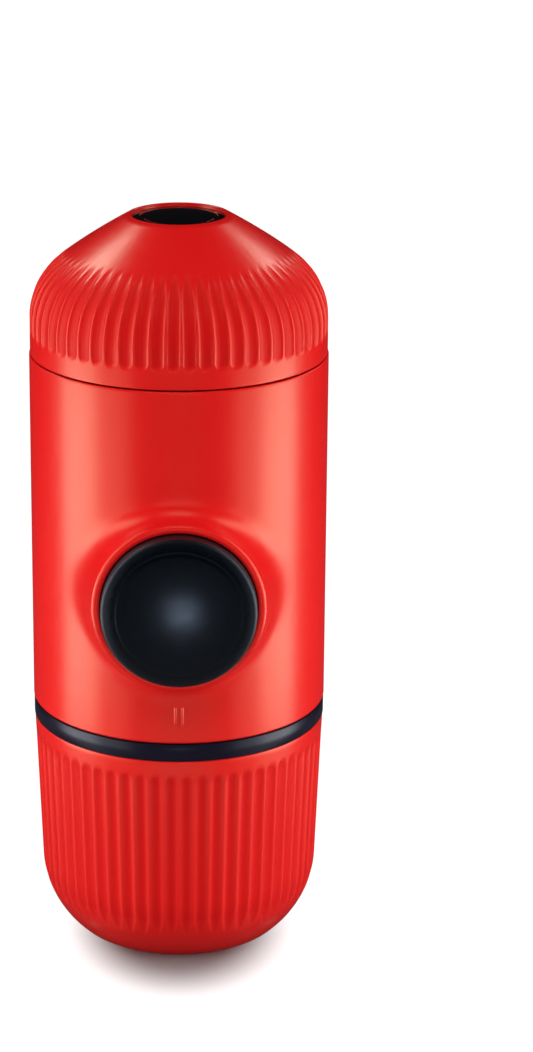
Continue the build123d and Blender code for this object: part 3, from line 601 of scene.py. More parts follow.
@dataclass(frozen=True)
class Flutes:
    """Shallow grooves up a turned wall, each end of them round or drawn out to a point.

    A groove's depth across its width is depth times b, where b is 1 - x^(2 f), x is the distance from its
    middle line over its half width, and f its flatness. Its lips are rounded: b is replaced by
    (b + sqrt(b^2 + s^2)) / 2 - s^2 / 4, never below 0, where s is the softness. Past a round end x also
    counts the distance from that end. Past a pointed end the half width shrinks to nothing over the length
    of the tip, and the depth shrinks as the half width to the power of fade.
    """

    HIGH_POINT = 0.5      # power by which the half width shrinks along a high tip
    LOW_POINT = 0.6       # the same along a low tip
    LEAST_WIDTH = 1e-6    # half width that is left at the end of a tip
    FARTHEST = 9.0        # x^2 counts no more than this, so that its powers stay small

    count: int
    half_width: float
    depth: float
    low: float
    high: float
    low_tip: float = 0.0
    high_tip: float = 0.0
    softness: float = 0.1
    flatness: float = 1.0
    fade: float = 1.2
    turn: float = 0.0

    def columns(self, shares: tuple[float, ...]) -> np.ndarray:
        """Angles of the columns: the same shares of each pitch, counted from a ridge."""
        steps = (np.arange(self.count)[:, None] + np.array(shares)[None, :]).ravel()
        return steps * (2 * math.pi / self.count) + math.radians(self.turn)

    def cut(self, angle: np.ndarray, radius: np.ndarray, run: np.ndarray) -> np.ndarray:
        """Depth of the grooves.

        Args:
            angle: angles about the axis, one for each column.
            radius: the wall's radius at each row, as a column array.
            run: distance along the outline at each row, as a column array.

        Returns:
            Depth in metres, rows by columns.
        """
        pitch = 2 * math.pi / self.count
        from_ridge = np.mod((angle - math.radians(self.turn)) / pitch, 1.0)
        across = (from_ridge[None, :] - 0.5) * pitch * radius
        below = np.maximum(self.low - run, 0.0)
        above = np.maximum(run - self.high, 0.0)
        width = np.full_like(run, self.half_width)
        beyond = below + above
        if self.high_tip:
            share = np.clip(above / self.high_tip, 0.0, 1.0)
            width = width * (1.0 - share) ** self.HIGH_POINT + self.LEAST_WIDTH
            beyond = below
        if self.low_tip:
            share = np.clip(below / self.low_tip, 0.0, 1.0)
            width = width * (1.0 - share) ** self.LOW_POINT + self.LEAST_WIDTH
            beyond = beyond - below
        shallow = (width / self.half_width) ** self.fade
        apart = np.minimum((across ** 2 + beyond ** 2) / width ** 2, self.FARTHEST)
        level = 1.0 - apart ** self.flatness
        soft = 0.5 * (level + np.sqrt(level ** 2 + self.softness ** 2))
        soft = np.clip(soft - self.softness ** 2 / 4, 0.0, None)
        return self.depth * shallow * soft


CUP_SHARES = (0.0, 0.055, 0.085, 0.115, 0.155, 0.22, 0.5, 0.78, 0.845, 0.885, 0.915, 0.945)
TANK_SHARES = (0.0, 0.08, 0.15, 0.22, 0.30, 0.40, 0.5, 0.60, 0.70, 0.78, 0.85, 0.92)


def fluted(name: str, outer: np.ndarray, flutes: Flutes, angle: np.ndarray, before: np.ndarray,
           after: np.ndarray) -> bpy.types.Object:
    """A turned shell with flutes pressed into its outer side along its normals.

    Args:
        name: the piece's name.
        outer: outline of the outer side, from low to high, as (radius, height).
        flutes: the grooves.
        angle: the columns.
        before: outline that leads up to the outer side, from the axis.
        after: outline that leads on from it, back to the axis.

    Returns:
        The closed shell, with its grooves marked for the finish.
    """
    cut = flutes.cut(angle, outer[:, :1], travelled(outer)[:, None])
    normal = outward(outer)
    wall = upright(outer[:, :1] - cut * normal[:, :1], outer[:, 1:] - cut * normal[:, 1:], angle[None, :])
    plain = [upright(outline[:, :1], outline[:, 1:], angle[None, :]) for outline in (before, after)]
    marks = np.zeros((len(before) + len(outer) + len(after), len(angle)))
    marks[len(before):len(before) + len(outer)] = cut / flutes.depth
    return Skin().add(np.vstack([plain[0], wall, plain[1]]), groove=np.clip(marks, 0.0, 1.0)).piece(name)


# Pieces

@dataclass
class Tank:
    """The water tank: a fluted shell with a deep bottom rounding, and the dark vessel that lines it."""

    rounding: float = 20.8 * MM
    low_height: float = 15.0 * MM
    draft: float = 1.3 * MM
    wall: float = 2.0 * MM
    vessel_wall: float = 1.5 * MM
    rim: float = 0.35 * MM
    seat: float = 0.05 * MM
    chamfer: float = 0.15 * MM
    collar_step: float = 0.1 * MM
    collar_rise: float = 0.4 * MM
    mouth_length: float = 7.3 * MM
    mouth_radius: float = 25.55 * MM
    throat: float = 2.0 * MM
    flute_count: int = 60
    flute_half_width: float = 1.30 * MM
    flute_depth: float = 0.42 * MM
    flute_head: float = 5.2 * MM
    flute_foot_angle: float = -13.0
    flute_tip: float = 4.5 * MM
    flute_softness: float = 0.25
    flute_flatness: float = 1.2
    bend_points: int = 40
    side_points: int = 44
    rim_points: int = 5
    base_points: int = 4
    lining_points: int = 14
    vessel_columns: int = 240
    high: float = field(init=False)
    collar_radius: float = field(init=False)
    collar_high: float = field(init=False)
    low_radius: float = field(init=False)
    lean: float = field(init=False)
    centre: Point = field(init=False)

    def __post_init__(self) -> None:
        """Take the levels from the frame and work out the rounding's centre."""
        self.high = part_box("tank_shell")[1].z
        self.collar_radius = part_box("tank_vessel")[1].x
        self.collar_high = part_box("tank_vessel")[1].z
        self.low_radius = self.collar_radius - self.collar_step - self.draft
        self.lean = math.atan2(self.draft, self.high - self.low_height)
        self.centre = (self.low_radius - self.rounding * math.cos(self.lean),
                       self.low_height + self.rounding * math.sin(self.lean))

    def side(self, inset: float, height: float) -> Point:
        """Point on the side at a height, moved inwards."""
        radius = self.low_radius + (height - self.low_height) * math.tan(self.lean)
        return (radius - inset / math.cos(self.lean), height)

    def bend(self, inset: float, count: int) -> np.ndarray:
        """Outline of the bottom rounding, moved inwards, from a floor that thick up to the side.

        Args:
            inset: how far it is moved inwards, which is the floor's thickness too.
            count: number of points, both ends included.

        Returns:
            Array of count points.
        """
        reach = self.rounding - inset
        floor_angle = -math.degrees(math.asin((self.centre[1] - inset) / reach))
        return arc(self.centre, reach, floor_angle, -math.degrees(self.lean), count)

    def outer(self) -> np.ndarray:
        """Outline of the shell's outer side: base edge, rounding, leaning side, small rim rounding.

        Returns:
            Array of points, from low to high.
        """
        side_low = self.side(0.0, self.low_height)
        side_high = self.side(0.0, self.high - self.rim)
        wall = line(side_low, side_high, self.side_points)[1:]
        rim = arc((side_high[0] - self.rim, side_high[1]), self.rim, 0.0, 90.0, self.rim_points)[1:]
        return np.vstack([self.bend(0.0, self.bend_points), wall, rim])

    def inner(self, inset: float, top: float) -> np.ndarray:
        """Outline of an inner side at an inset, from the axis up to a height."""
        return np.vstack([[(0.0, inset)], self.bend(inset, self.lining_points), [self.side(inset, top)]])

    def shell(self) -> bpy.types.Object:
        """The fluted shell: outer side, rim and inner side on one grid, poles at both floors.

        Returns:
            The shell.
        """
        outer = self.outer()
        foot_height = self.centre[1] + self.rounding * math.sin(math.radians(self.flute_foot_angle))
        flutes = Flutes(
            count=self.flute_count, half_width=self.flute_half_width, depth=self.flute_depth,
            low=travelled_to(outer[:self.bend_points], foot_height),
            high=travelled_to(outer, self.high - self.flute_head),
            low_tip=self.flute_tip, softness=self.flute_softness, flatness=self.flute_flatness,
        )
        base = line((0.0, 0.0), tuple(outer[0]), self.base_points)[:-1]
        inner = self.inner(self.wall, self.high)[::-1]
        return fluted("fluted_tank_shell", outer, flutes, flutes.columns(TANK_SHARES), base, inner)

    def vessel(self) -> bpy.types.Object:
        """The vessel: lining, collar with small chamfers, mouth for the neck.

        Returns:
            The vessel.
        """
        out = self.wall + self.seat
        top = self.collar_high + self.collar_rise
        lip = self.collar_radius - self.collar_step - self.wall
        mouth_low = self.collar_high - self.mouth_length
        collar = np.array([
            (self.collar_radius - self.chamfer, self.high), (self.collar_radius, self.high + self.chamfer),
            (self.collar_radius, top - self.chamfer), (self.collar_radius - self.chamfer, top),
            (lip, top), (lip, self.collar_high),
            (self.mouth_radius, self.collar_high), (self.mouth_radius, mouth_low),
        ])
        lining = self.inner(out, self.high)
        inside = self.inner(out + self.vessel_wall, mouth_low - self.throat)[::-1]
        return turned("tank_vessel_with_collar", np.vstack([lining, collar, inside]), self.vessel_columns)

    def build(self, shop: Workshop) -> None:
        """Make both pieces and fit them."""
        shop.fit(self.shell(), "tank", Slot.RED, "tank_shell")
        shop.fit(self.vessel(), "tank", Slot.DARK, "tank_vessel")


@dataclass
class Body:
    """The body shell: a smooth cylinder whose front swells into a round bezel for the piston.

    The surface is worked out on rays about the piston's axis. Near the bezel a ray's points are
    (rho sin a, -h, axis + rho cos a), where h is the cylinder's depth plus the bezel's height above it.
    Farther out the rays run straight on the unrolled cylinder to its two ends and to the line at the back.
    """

    wall: float = 2.2 * MM
    edge: float = 0.25 * MM
    rise: float = 31.0 * MM
    bore: float = 16.05 * MM
    lip_depth: float = 2.0 * MM
    sleeve_bore: float = 17.28 * MM
    rim_radius: float = 17.8 * MM
    rim_round: float = 1.05 * MM
    flare_reach: float = 6.5 * MM
    flare_start: float = 0.75
    flare_end: float = 3.5
    flare_crowding: float = 2.0
    evenness: float = 0.35
    end_columns: int = 200
    back_columns: int = 72
    edge_rows: int = 5
    inner_rows: int = 26
    rim_rows: int = 16
    flare_rows: int = 46
    outer_rows: int = 52
    bar_width: float = 0.64 * MM
    bar_height: float = 4.0 * MM
    bar_spacing: float = 1.4 * MM
    bar_foot: float = 4.1 * MM
    bar_relief: float = 0.25 * MM
    bar_ridge: float = 1.4
    bar_root: float = 0.4 * MM
    bar_columns: int = 24
    bar_rows: int = 7
    low: float = field(init=False)
    high: float = field(init=False)
    radius: float = field(init=False)
    axis: float = field(init=False)
    rim_depth: float = field(init=False)

    def __post_init__(self) -> None:
        """Take the levels from the frame."""
        low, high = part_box("body_shell")
        self.low, self.high, self.radius = low.z, high.z, high.x
        self.axis = self.low + self.rise
        self.rim_depth = -low.y

    def boundary(self) -> np.ndarray:
        """Where the rays end: on the low end, up the right of the back, on the high end, down its left.

        Returns:
            Array of one (arc from the front, height) for each ray.
        """
        half = math.pi * self.radius
        low, high = self.low + self.edge, self.high - self.edge
        across = np.linspace(-1.0, 1.0, self.end_columns + 1)[:-1]
        up = np.linspace(0.0, 1.0, self.back_columns + 1)[:-1]
        sides = [
            np.stack([half * across, np.full_like(across, low)], axis=1),
            np.stack([np.full_like(up, half), low + (high - low) * up], axis=1),
            np.stack([-half * across, np.full_like(across, high)], axis=1),
            np.stack([np.full_like(up, -half), high - (high - low) * up], axis=1),
        ]
        return np.vstack(sides)

    def rays(self) -> np.ndarray:
        """Angle about the piston's axis of each ray.

        It lies between the angle at which the axis sees the ray's end and that of evenly spaced rays, so that
        no ray turns sharply at the blend's edge.

        Returns:
            Array of angles in radians.
        """
        ends = self.boundary()
        aimed = np.unwrap(np.arctan2(ends[:, 0], ends[:, 1] - self.axis))
        turn = math.copysign(2 * math.pi, aimed[-1] - aimed[0])
        steps = np.linspace(aimed[0], aimed[0] + turn, len(ends), endpoint=False)
        return (1 - self.evenness) * aimed + self.evenness * steps

    def bezel_depth(self, rho: np.ndarray, angle: np.ndarray) -> np.ndarray:
        """Depth in front of the bottle's axis: the cylinder's, plus the bezel's height above it.

        The height is the rim's, times (1 - u^a)^b, where u runs from 0 at the rim to 1 at the flare's foot,
        a is flare_start and b is flare_end. It leaves the rim upright and meets the cylinder without a line.

        Args:
            rho: distances from the piston's axis, as a column array.
            angle: the rays' angles, as a row array.

        Returns:
            Array of depths in metres, rows by rays.
        """
        cylinder = np.sqrt(self.radius ** 2 - (rho * np.sin(angle)) ** 2)
        share = np.clip((rho - self.rim_radius) / self.flare_reach, 0.0, 1.0)
        fall = (1.0 - share ** self.flare_start) ** self.flare_end
        return cylinder + (self.rim_depth - self.rim_round - cylinder) * fall

    def front(self, angle: np.ndarray) -> np.ndarray:
        """The bezel: rim rounding and the flare down to the blend's edge.

        Args:
            angle: the rays' angles.

        Returns:
            Grid of points, rows by rays.
        """
        turn = np.linspace(self.lip_turn(), 0.0, self.rim_rows)
        centre = self.rim_radius - self.rim_round
        rim_rho = centre + self.rim_round * np.cos(turn)
        rim_depth = self.rim_depth - self.rim_round + self.rim_round * np.sin(turn)
        rim = facing(rim_rho[:, None], -rim_depth[:, None], angle[None, :], self.axis)
        share = np.linspace(0.0, 1.0, self.flare_rows)[1:] ** self.flare_crowding
        rho = (self.rim_radius + self.flare_reach * share)[:, None]
        flare = facing(rho, -self.bezel_depth(rho, angle[None, :]), angle[None, :], self.axis)
        return np.vstack([rim, flare])

    def lip_turn(self) -> float:
        """Angle on the rim's round at which it meets the bore, in radians."""
        return math.acos((self.bore - self.rim_radius + self.rim_round) / self.rim_round)

    def wrap(self, start: np.ndarray, radius: float, rows: int) -> np.ndarray:
        """Straight rays on the unrolled cylinder, from given starts to the boundary.

        Args:
            start: where each ray starts, as (arc from the front, height).
            radius: radius of the side that the points lie on.
            rows: number of points on a ray, both ends included.

        Returns:
            Grid of points, rows by rays.
        """
        share = np.linspace(0.0, 1.0, rows)[:, None, None]
        flat = start[None] * (1 - share) + self.boundary()[None] * share
        return upright(np.full_like(flat[..., 0], radius), flat[..., 1], flat[..., 0] / self.radius)

    def start(self, rho: float, radius: float, angle: np.ndarray) -> np.ndarray:
        """Where a circle about the piston's axis lies on the unrolled cylinder."""
        return np.stack([self.radius * np.arcsin(rho * np.sin(angle) / radius),
                         self.axis + rho * np.cos(angle)], axis=1)

    def shell(self) -> bpy.types.Object:
        """The whole shell: inner side, bore, bezel, outer side and the two ends, on grids that share edges.

        Returns:
            The shell, with the two bars on it.
        """
        angle = self.rays()
        inner_radius = self.radius - self.wall
        lip = -(self.rim_depth - self.lip_depth)
        bore_radius = np.array([[self.sleeve_bore], [self.bore]])
        bore = facing(bore_radius, np.full_like(bore_radius, lip), angle[None, :], self.axis)
        sleeve_edge = self.start(self.sleeve_bore, inner_radius, angle)
        flare_edge = self.start(self.rim_radius + self.flare_reach, self.radius, angle)
        inner = self.wrap(sleeve_edge, inner_radius, self.inner_rows)[::-1]
        outer = self.wrap(flare_edge, self.radius, self.outer_rows)
        skin = Skin().add(np.vstack([inner, bore, self.front(angle), outer[1:]]))
        self.add_ends(skin, inner_radius)
        self.add_bars(skin)
        return skin.piece("body_shell_with_bezel")

    def add_ends(self, skin: Skin, inner_radius: float) -> None:
        """Close both ends with a small rounding outside and a flat rim, all the way round.

        Args:
            skin: the shell's skin.
            inner_radius: radius of the inner side.
        """
        angle = self.boundary()[:self.end_columns, 0] / self.radius
        turn = np.radians(np.linspace(0.0, 90.0, self.edge_rows))
        outer = self.radius - self.edge + self.edge * np.cos(turn)
        radius = np.concatenate([outer, [inner_radius, inner_radius]])
        rise = np.concatenate([self.edge * np.sin(turn), [self.edge, 0.0]])
        top = upright(radius[:, None], self.high - self.edge + rise[:, None], -angle[None, :])
        low = upright(radius[:, None], self.low + self.edge - rise[:, None], angle[None, :])
        skin.add(top)
        skin.add(low[::-1])

    def add_bars(self, skin: Skin) -> None:
        """Two raised bars under the bezel with round ends.

        Across a bar the height is relief (1 - s^ridge), where s runs from 0 on its line to 1 at its foot, so
        a bar has a blunt ridge whose two slopes catch the soft boxes. The columns round a bar are turned by
        half a step, so that as many lie at one end as at the other.

        Args:
            skin: the shell's skin.
        """
        turn = np.linspace(0.0, 360.0, self.bar_columns, endpoint=False) + 180.0 / self.bar_columns
        turn = np.radians(turn)
        tilt = np.radians(np.linspace(0.0, 90.0, self.bar_rows))
        half_length = (self.bar_height - self.bar_width) / 2
        middle = self.low + self.bar_foot + self.bar_height / 2
        ring = np.stack([np.cos(turn), np.sin(turn)], axis=1) * self.bar_width / 2
        shift = np.where(ring[:, 1] > 0, half_length, -half_length)
        root = self.radius - self.bar_root
        for side in (-1, 1):
            across = side * self.bar_spacing / 2 + ring[None, :, 0] * np.cos(tilt)[:, None]
            along = middle + shift[None, :] + ring[None, :, 1] * np.cos(tilt)[:, None]
            wall = np.sqrt(self.radius ** 2 - across ** 2)
            depth = wall + self.bar_relief * (1.0 - np.cos(tilt)[:, None] ** self.bar_ridge)
            crown = np.stack([across, -depth, along], axis=-1)
            foot = np.stack([across[:1], np.full_like(across[:1], -root), along[:1]], axis=-1)
            spine = np.stack([np.full((1, len(turn)), side * self.bar_spacing / 2),
                              np.full((1, len(turn)), -root), middle + shift[None, :]], axis=-1)
            skin.add(np.vstack([spine, foot, crown]))

    def build(self, shop: Workshop) -> None:
        """Make the shell and fit it."""
        shop.fit(self.shell(), "main_body", Slot.RED, "body_shell")


@dataclass
class Piston:
    """The button: a broad dome, a soft crease, a band that slopes to the skirt, and the hollow skirt."""

    radius: float = 15.8 * MM
    crease_radius: float = 13.0 * MM
    crown: float = 0.8 * MM
    crease_depth: float = 0.09 * MM
    crease_width: float = 0.35 * MM
    edge_round: float = 0.9 * MM
    edge_lean: float = 15.0
    edge_dulled: float = 0.5
    skirt_end: float = 31.0 * MM
    skirt_wall: float = 1.5 * MM
    crown_wall: float = 3.5 * MM
    boss_radius: float = 5.0 * MM
    boss_length: float = 6.0 * MM
    lug_height: float = 1.0 * MM
    lug_length: float = 2.0 * MM
    lug_slope: float = 0.01 * MM
    lug_half_arc: float = 7.0
    dome_points: int = 20
    dome_short: float = 1.0 * MM
    crease_points: int = 25
    crease_before: float = 0.9 * MM
    crease_after: float = 0.7 * MM
    edge_points: int = 12
    edge_gap: float = 0.05 * MM
    columns: int = 240
    face: float = field(init=False)
    axis: float = field(init=False)

    def __post_init__(self) -> None:
        """Take the face's place and the axis from the frame."""
        low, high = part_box("piston_head")
        self.face = low.y
        self.axis = (low.z + high.z) / 2

    def outline(self) -> np.ndarray:
        """Outline from the middle of the face round the skirt and back to the axis.

        The face is one shallow dome: its depth grows with the square of the radius. A crease near its edge is
        a small dip, exp(-(x x)), where x is the distance from the crease over its width. Outside the crease
        the surface leans back a little, and a quarter round leads into the skirt.

        Returns:
            Array of (radius, y) points.
        """
        lean = math.radians(self.edge_lean)
        centre = (self.radius - self.edge_round, self.face + self.crown + self.edge_round)
        bend = np.radians(np.linspace(90.0 - self.edge_lean, 0.0, self.edge_points))
        corner = np.stack([centre[0] + self.edge_round * np.cos(bend),
                           centre[1] + self.edge_fall(lean) - self.edge_round * np.sin(bend)], axis=1)
        rho = np.concatenate([
            np.linspace(0.0, self.crease_radius - self.dome_short, self.dome_points),
            np.linspace(self.crease_radius - self.crease_before, self.crease_radius + self.crease_after,
                        self.crease_points),
        ])
        dome = self.crown * (rho / self.crease_radius) ** 2
        outside = np.maximum(rho - self.crease_radius, 0.0)
        dip = self.crease_depth * np.exp(-((rho - self.crease_radius) / self.crease_width) ** 2)
        depth = np.where(outside > 0, self.crown + outside * math.tan(lean), dome) + dip
        face = np.stack([rho, self.face + depth], axis=1)
        skirt_back = self.face + self.skirt_end
        inside = self.radius - self.skirt_wall
        crown_back = self.face + self.crown_wall
        lug_front = skirt_back - self.lug_length
        rest = np.array([
            (self.radius, lug_front - self.lug_slope), (self.radius, lug_front), (self.radius, skirt_back),
            (inside, skirt_back), (inside, crown_back), (self.boss_radius, crown_back),
            (self.boss_radius, crown_back + self.boss_length), (0.0, crown_back + self.boss_length),
        ])
        return np.vstack([face[face[:, 0] < corner[0, 0] - self.edge_gap], corner, rest])

    def edge_fall(self, lean: float) -> float:
        """How far the leaning surface has dropped where the quarter round takes over."""
        start = self.radius - self.edge_round + self.edge_round * math.sin(lean)
        return (start - self.crease_radius) * math.tan(lean) - self.edge_round * (1.0 - math.cos(lean))

    def head(self) -> bpy.types.Object:
        """The button: the outline turned about the axis, with the two lugs raised at the skirt's end.

        Returns:
            The button, with its edge marked for the finish.
        """
        outline = self.outline()
        angle = whole_turn(self.columns)
        radius = np.repeat(outline[:, :1], len(angle), axis=1)
        depth = np.repeat(outline[:, 1:], len(angle), axis=1)
        turn = np.degrees(np.abs(np.mod(angle + math.pi / 2, math.pi) - math.pi / 2))
        raised = turn < self.lug_half_arc
        on_skirt = np.flatnonzero(np.isclose(outline[:, 0], self.radius))[-2:]
        radius[np.ix_(on_skirt, np.flatnonzero(raised))] += self.lug_height
        edge = (outline[:, :1] - self.radius + self.edge_round) / self.edge_round / self.edge_dulled
        marks = np.repeat(np.clip(edge, 0.0, 1.0), len(angle), axis=1)
        grid = facing(radius, depth, angle[None, :], self.axis)
        return Skin().add(grid, groove=marks).piece("piston_button")

    def build(self, shop: Workshop) -> None:
        """Make the button and fit it."""
        shop.fit(self.head(), "piston", Slot.BUTTON, "piston_head")


@dataclass
class Cup:
    """The cup: a plain rim band, flutes that climb the shoulder to points, a cone, and the badge's recess."""

    shoulder: float = 15.0 * MM
    cone_angle: float = 33.7
    cone_swell: float = 4.0
    cone_pull: float = 0.45
    side_height: float = 7.2 * MM
    wall: float = 1.6 * MM
    rim: float = 0.3 * MM
    top_thickness: float = 2.2 * MM
    recess_radius: float = 9.8 * MM
    recess_depth: float = 1.4 * MM
    recess_edge: float = 0.35 * MM
    recess_rim: float = 0.8 * MM
    lip_inset: float = 0.25 * MM
    lip_depth: float = 0.9 * MM
    step: float = 0.2 * MM
    flute_count: int = 60
    flute_half_width: float = 1.36 * MM
    flute_depth: float = 0.46 * MM
    flute_foot: float = 5.4 * MM
    flute_tip: float = 6.4 * MM
    flute_past: float = 3.6 * MM
    flute_softness: float = 0.14
    flute_flatness: float = 1.6
    flute_fade: float = 0.8
    flute_turn: float = 1.0
    rim_points: int = 5
    side_points: int = 26
    bend_points: int = 54
    cone_points: int = 18
    lip_steps: int = 4
    inner_points: int = 12
    low: float = field(init=False)
    high: float = field(init=False)
    radius: float = field(init=False)
    centre: Point = field(init=False)
    top_radius: float = field(init=False)

    def __post_init__(self) -> None:
        """Take the levels from the frame and work out the shoulder's centre."""
        low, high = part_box("cup_shell")
        self.low, self.high = low.z, high.z
        self.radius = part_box("body_shell")[1].x - self.step
        self.centre = (self.radius - self.shoulder, self.low + self.side_height)
        self.top_radius = self.recess_radius + self.recess_rim

    def outer(self) -> np.ndarray:
        """Outline of the outer side: rim rounding, side, shoulder, cone, small edge into the recess.

        The cone swells a little: a quadratic curve that leaves the shoulder along its tangent.

        Returns:
            Array of points, from low to high.
        """
        rim = arc((self.radius - self.rim, self.low + self.rim), self.rim, -90.0, 0.0, self.rim_points)
        side = line((self.radius, self.low + self.rim), (self.radius, self.centre[1]), self.side_points)[1:]
        bend_end = 90.0 - self.cone_angle - self.cone_swell
        bend = arc(self.centre, self.shoulder, 0.0, bend_end, self.bend_points)[1:]
        slope = math.radians(self.cone_angle)
        top = (self.top_radius, self.high - self.recess_edge * math.tan(slope) * 0.5)
        leave = np.array([-math.sin(math.radians(bend_end)), math.cos(math.radians(bend_end))])
        pull = bend[-1] + self.cone_pull * math.dist(bend[-1], top) * leave
        share = np.linspace(0.0, 1.0, self.cone_points)[1:, None]
        cone = bend[-1] * (1 - share) ** 2 + 2 * pull * share * (1 - share) + np.array(top) * share ** 2
        lip = rounded([tuple(cone[-2]), (self.top_radius - self.lip_inset, self.high),
                       (self.recess_radius, self.high), (self.recess_radius, self.high - self.recess_depth)],
                      self.recess_edge, self.lip_steps)
        lip = lip[(lip[:, 1] > self.high - self.lip_depth) & (lip[:, 0] < self.top_radius)]
        return np.vstack([rim, side, bend, cone, lip])

    def inner(self, inset: float, ceiling: float) -> np.ndarray:
        """Outline of the inner side.

        Args:
            inset: how far it lies inside the outer side.
            ceiling: height of its ceiling.

        Returns:
            Array of points, from the rim to the axis.
        """
        bend = arc(self.centre, self.shoulder - inset, 0.0, 90.0 - self.cone_angle, self.inner_points)
        end = bend[-1]
        cone_radius = end[0] - (ceiling - end[1]) / math.tan(math.radians(self.cone_angle))
        return np.vstack([[(self.radius - inset, self.low)], bend, [(cone_radius, ceiling), (0.0, ceiling)]])

    def shell(self) -> bpy.types.Object:
        """The fluted shell: inner side, rim, outer side and recess on one grid, poles at ceiling and recess.

        Returns:
            The shell.
        """
        outer = self.outer()
        side_end = self.rim_points + self.side_points - 1
        bend_end = side_end + self.bend_points - 1
        flutes = Flutes(
            count=self.flute_count, half_width=self.flute_half_width, depth=self.flute_depth,
            low=travelled_to(outer[:side_end], self.low + self.flute_foot),
            high=travelled(outer)[bend_end - 1] + self.flute_past - self.flute_tip,
            high_tip=self.flute_tip, softness=self.flute_softness, flatness=self.flute_flatness,
            fade=self.flute_fade, turn=self.flute_turn,
        )
        floor = self.high - self.recess_depth
        recess = np.array([(self.recess_radius, floor), (0.0, floor)])
        inner = self.inner(self.wall, self.high - self.top_thickness)[::-1]
        return fluted("fluted_cup_shell", outer, flutes, flutes.columns(CUP_SHARES), inner, recess)

    def build(self, shop: Workshop) -> None:
        """Make the shell and fit it."""
        shop.fit(self.shell(), "cup", Slot.RED, "cup_shell")


@dataclass
class Badge:
    """The bare badge: a polished disc with a low ring and a slightly dished middle.

    Its height is a shallow bowl, dish u^2, where u is the radius over the badge's own, plus one rounded ring,
    ring_height exp(-(x x)), where x is the distance of u from ring_place over ring_width.
    """

    sink: float = 0.42 * MM
    dish: float = 0.30 * MM
    ring_place: float = 0.78
    ring_width: float = 0.05
    ring_height: float = 0.16 * MM
    margin: float = 0.3 * MM
    edge_inset: float = 0.12 * MM
    edge_drop: float = 0.05 * MM
    side_drop: float = 0.2 * MM
    rings: int = 60
    columns: int = 192

    def disc(self) -> bpy.types.Object:
        """The disc: top, edge and underside on one grid, poles at both middles.

        Returns:
            The disc.
        """
        low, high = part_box("cup_badge")
        radius = high.x
        rho = np.linspace(0.0, radius - self.margin, self.rings)
        share = rho / radius
        ring = np.exp(-((share - self.ring_place) / self.ring_width) ** 2)
        height = high.z - self.sink + self.dish * share ** 2 + self.ring_height * ring
        outline = np.vstack([
            np.stack([rho, height], axis=1),
            [(radius - self.edge_inset, height[-1] - self.edge_drop), (radius, height[-1] - self.side_drop)],
            [(radius, low.z), (0.0, low.z)],
        ])
        grid = upright(outline[:, :1], outline[:, 1:], whole_turn(self.columns)[None, :])
        return Skin().add(grid).piece("cup_badge_disc")

    def build(self, shop: Workshop) -> None:
        """Make the disc and fit it."""
        shop.fit(self.disc(), "cup", Slot.BADGE, "cup_badge")


# Studio

@dataclass(frozen=True)
class Softbox:
    """An oblong lamp: where it stands about the bottle, how large it is and how bright it looks."""

    name: str
    azimuth: float
    distance: float
    height: float
    width: float
    tall: float
    radiance: float
    colour: Colour = (1.0, 1.0, 1.0)
    aim: float = 0.08
    in_gloss: bool = True

    def build(self) -> None:
        """Put the lamp in the scene, facing the axis; its power is radiance times pi times its area."""
        data = bpy.data.lights.new(self.name, "AREA")
        data.shape = "RECTANGLE"
        data.size, data.size_y = self.width, self.tall
        data.energy = self.radiance * math.pi * self.width * self.tall
        data.color = self.colour
        thing = bpy.data.objects.new(self.name, data)
        turn = math.radians(self.azimuth)
        thing.location = (self.distance * math.sin(turn), -self.distance * math.cos(turn), self.height)
        away = thing.location - Vector((0.0, 0.0, self.aim))
        thing.rotation_mode = "QUATERNION"
        thing.rotation_quaternion = away.to_track_quat("Z", "Y")
        thing.visible_camera = False
        thing.visible_glossy = self.in_gloss
        bpy.context.scene.collection.objects.link(thing)


# After a lamp's name: azimuth in degrees, then distance, height, width and tall in metres, then radiance.
SOFTBOXES = (
    Softbox("softbox_left", -75.0, 0.15, 0.050, 0.085, 0.100, 3.8, aim=0.050),
    Softbox("softbox_right", 76.0, 0.15, 0.050, 0.085, 0.100, 3.8, aim=0.050),
    Softbox("upper_left", -76.0, 0.16, 0.175, 0.085, 0.14, 2.0, aim=0.15),
    Softbox("upper_right", 77.0, 0.16, 0.175, 0.085, 0.14, 2.0, aim=0.15),
    Softbox("inner_left", -46.0, 0.16, 0.053, 0.06, 0.106, 1.0, aim=0.053),
    Softbox("inner_right", 50.0, 0.16, 0.053, 0.055, 0.106, 1.0, aim=0.053),
    Softbox("rim_left", -130.0, 0.25, 0.375, 0.085, 0.095, 8.0, aim=0.15),
    Softbox("rim_right", 135.0, 0.25, 0.32, 0.075, 0.075, 5.2, aim=0.15),
    Softbox("glint_front", 0.9, 0.12, 0.0555, 0.013, 0.013, 2.6, (0.74, 0.85, 1.0)),
    Softbox("fill_front", 0.0, 0.75, 0.12, 0.50, 0.30, 4.9, in_gloss=False),
    Softbox("fill_low", 0.0, 0.10, 0.012, 0.10, 0.016, 2.8, aim=0.082, in_gloss=False),
    Softbox("fill_back", 180.0, 0.60, 0.10, 0.40, 0.20, 5.0, in_gloss=False),
    Softbox("fill_left", -88.0, 0.40, 0.11, 0.22, 0.22, 4.0, in_gloss=False),
    Softbox("fill_right", 88.0, 0.40, 0.11, 0.22, 0.22, 4.2, in_gloss=False),
    Softbox("fill_top", 0.0, 0.30, 0.60, 0.30, 0.30, 6.4, aim=0.12, in_gloss=False),
)


